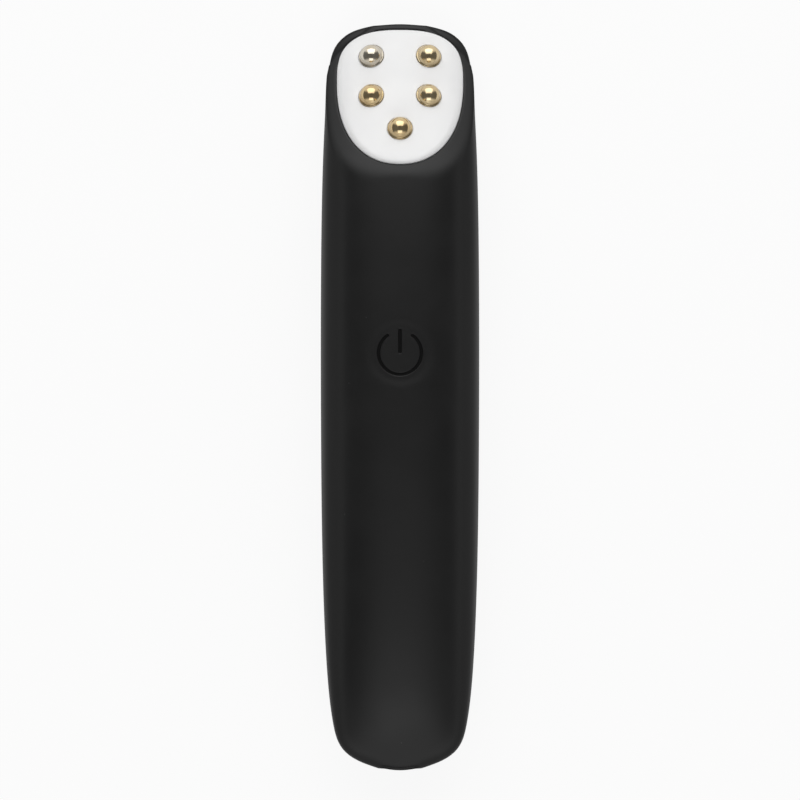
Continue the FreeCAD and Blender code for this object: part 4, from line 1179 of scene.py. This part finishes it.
def dress_inside():
    """Finishes of what the skin hides, from the housings to the leads."""
    plastic = moulded_plastic("housing_plastic", (0.022, 0.022, 0.024), (0.032, 0.032, 0.034))
    dress(plastic, "front_housing", "back_housing")
    dress(moulded_plastic("switch_black", (0.015, 0.015, 0.016), (0.025, 0.025, 0.026)), "key_actuator")
    switch_base = moulded_plastic("switch_base_black", (0.02, 0.02, 0.02), (0.03, 0.03, 0.03), 0.42)
    dress(switch_base, "tact_switch_base")
    natural = moulded_plastic("natural_nylon", (0.68, 0.66, 0.58), (0.76, 0.75, 0.68), 0.42)
    dress(natural, "tact_switch_plunger", "battery_connector", "motor_end_cap")
    epoxy = moulded_plastic("chip_epoxy", (0.018, 0.018, 0.02), (0.028, 0.028, 0.03), 0.6, 0.12)
    dress(epoxy, "controller_chip")
    rubber = moulded_plastic("boot_rubber", (0.02, 0.02, 0.02), (0.03, 0.03, 0.03), 0.75, 0.3, 0.3)
    dress(rubber, "motor_boot")
    dress(moulded_plastic("sensor_glass", (0.2, 0.05, 0.02), (0.3, 0.09, 0.03), 0.15, 0.5), "thermistor")
    steel = worked_metal("zinc_steel", (0.5, 0.51, 0.53), (0.62, 0.62, 0.63), 0.34)
    dress(steel, "housing_screws", "board_screws", "bead_retaining_rings", "motor_shaft")
    tinned = worked_metal("tinned_steel", (0.6, 0.6, 0.6), (0.72, 0.72, 0.71), 0.28)
    dress(tinned, "micro_usb_socket", "motor_can")
    dress(worked_metal("tungsten", (0.26, 0.25, 0.24), (0.36, 0.35, 0.34), 0.45, 0.2), "eccentric_weight")
    dress(worked_metal("bronze", (0.4, 0.24, 0.1), (0.56, 0.36, 0.17), 0.4, 0.2), "motor_bush")
    dress(worked_metal("sheet_aluminium", (0.66, 0.67, 0.68), (0.76, 0.77, 0.78), 0.36), "heat_spreader")
    dress(board_green(), "main_board")
    dress(mixed_components(), "board_components")
    dress(heater_amber(), "heater_film")
    dress(pouch_foil(), "battery_pouch")
    dress(open_foam(), "battery_foam_pad")
    dress(copper_winding(), "motor_armature")
    dress(tongue_black(), "usb_contact_tongue")
    red, black, blue = (0.42, 0.02, 0.02), (0.012, 0.012, 0.012), (0.02, 0.06, 0.3)
    dress(two_leads("battery_wire", black, red), "battery_leads")
    dress(two_leads("motor_wire", blue, red), "motor_leads")
    dress(two_leads("heater_wire", (0.62, 0.61, 0.58), (0.66, 0.65, 0.62)), "heater_leads")


# ---- the beads

# The foot and the stem are pairs of radius and height over the plate.
BEAD_CROWN = 2.4
BEAD_CROWN_MIDDLE = 0.12
BEAD_CROWN_REACH = 80.0
BEAD_FOOT = ((2.385, 0.3), (2.41, 0.19), (2.48, 0.13), (2.6, 0.09), (2.68, 0.02), (2.7, -0.07), (2.7, -0.25))
BEAD_STEM = ((1.1, -0.25), (1.1, -3.1), (0.05, -3.1))


def bead(node, spot, material):
    """A round crown on a thin foot, with the stem that goes through the plate."""
    turn = np.radians(np.linspace(1.5, BEAD_CROWN_REACH, 15))
    crown = [(BEAD_CROWN * math.sin(t), BEAD_CROWN_MIDDLE + BEAD_CROWN * math.cos(t)) for t in turn]
    shell = Shell()
    rings = [
        shell.ring(from_head(*bead_circle(spot, radius, height)))
        for radius, height in (*crown, *BEAD_FOOT, *BEAD_STEM)
    ]
    for one, other in zip(rings, rings[1:]):
        shell.join(one, other)
    shell.faces.append(tuple(reversed(rings[0])))
    shell.faces.append(tuple(rings[-1]))
    piece = shell.make(node.replace("massage_", ""), "wand", material, sharp=42.0)
    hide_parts(node)


def make_beads():
    """Gold domes; the one at the top left is a paler gold than the rest."""
    pale = bead_gold("bead_champagne", (0.66, 0.61, 0.52), (0.58, 0.51, 0.4))
    gold = bead_gold("bead_gold", (0.68, 0.56, 0.36), (0.58, 0.45, 0.26))
    warm = bead_gold("bead_warm_gold", (0.68, 0.54, 0.32), (0.58, 0.43, 0.23))
    places = ("top_left", "top_right", "middle_left", "middle_right", "bottom")
    for place, spot, material in zip(places, BEAD_SPOTS, (pale, gold, warm, gold, warm)):
        bead(f"massage_bead_{place}", spot, material)


# ---- the whole object

stand_camera()
light_scene()
lay_floor()
skin_black = silicone("skin_black")
skin_piece = silicone_skin(skin_black)
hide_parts("silicone_sleeve")
key_pad(silicone("key_black", with_sign=True))
key_membrane(skin_black)
treatment_plate(plate_white())
make_beads()
dress_inside()
bpy.context.scene.view_settings.view_transform = "Standard"
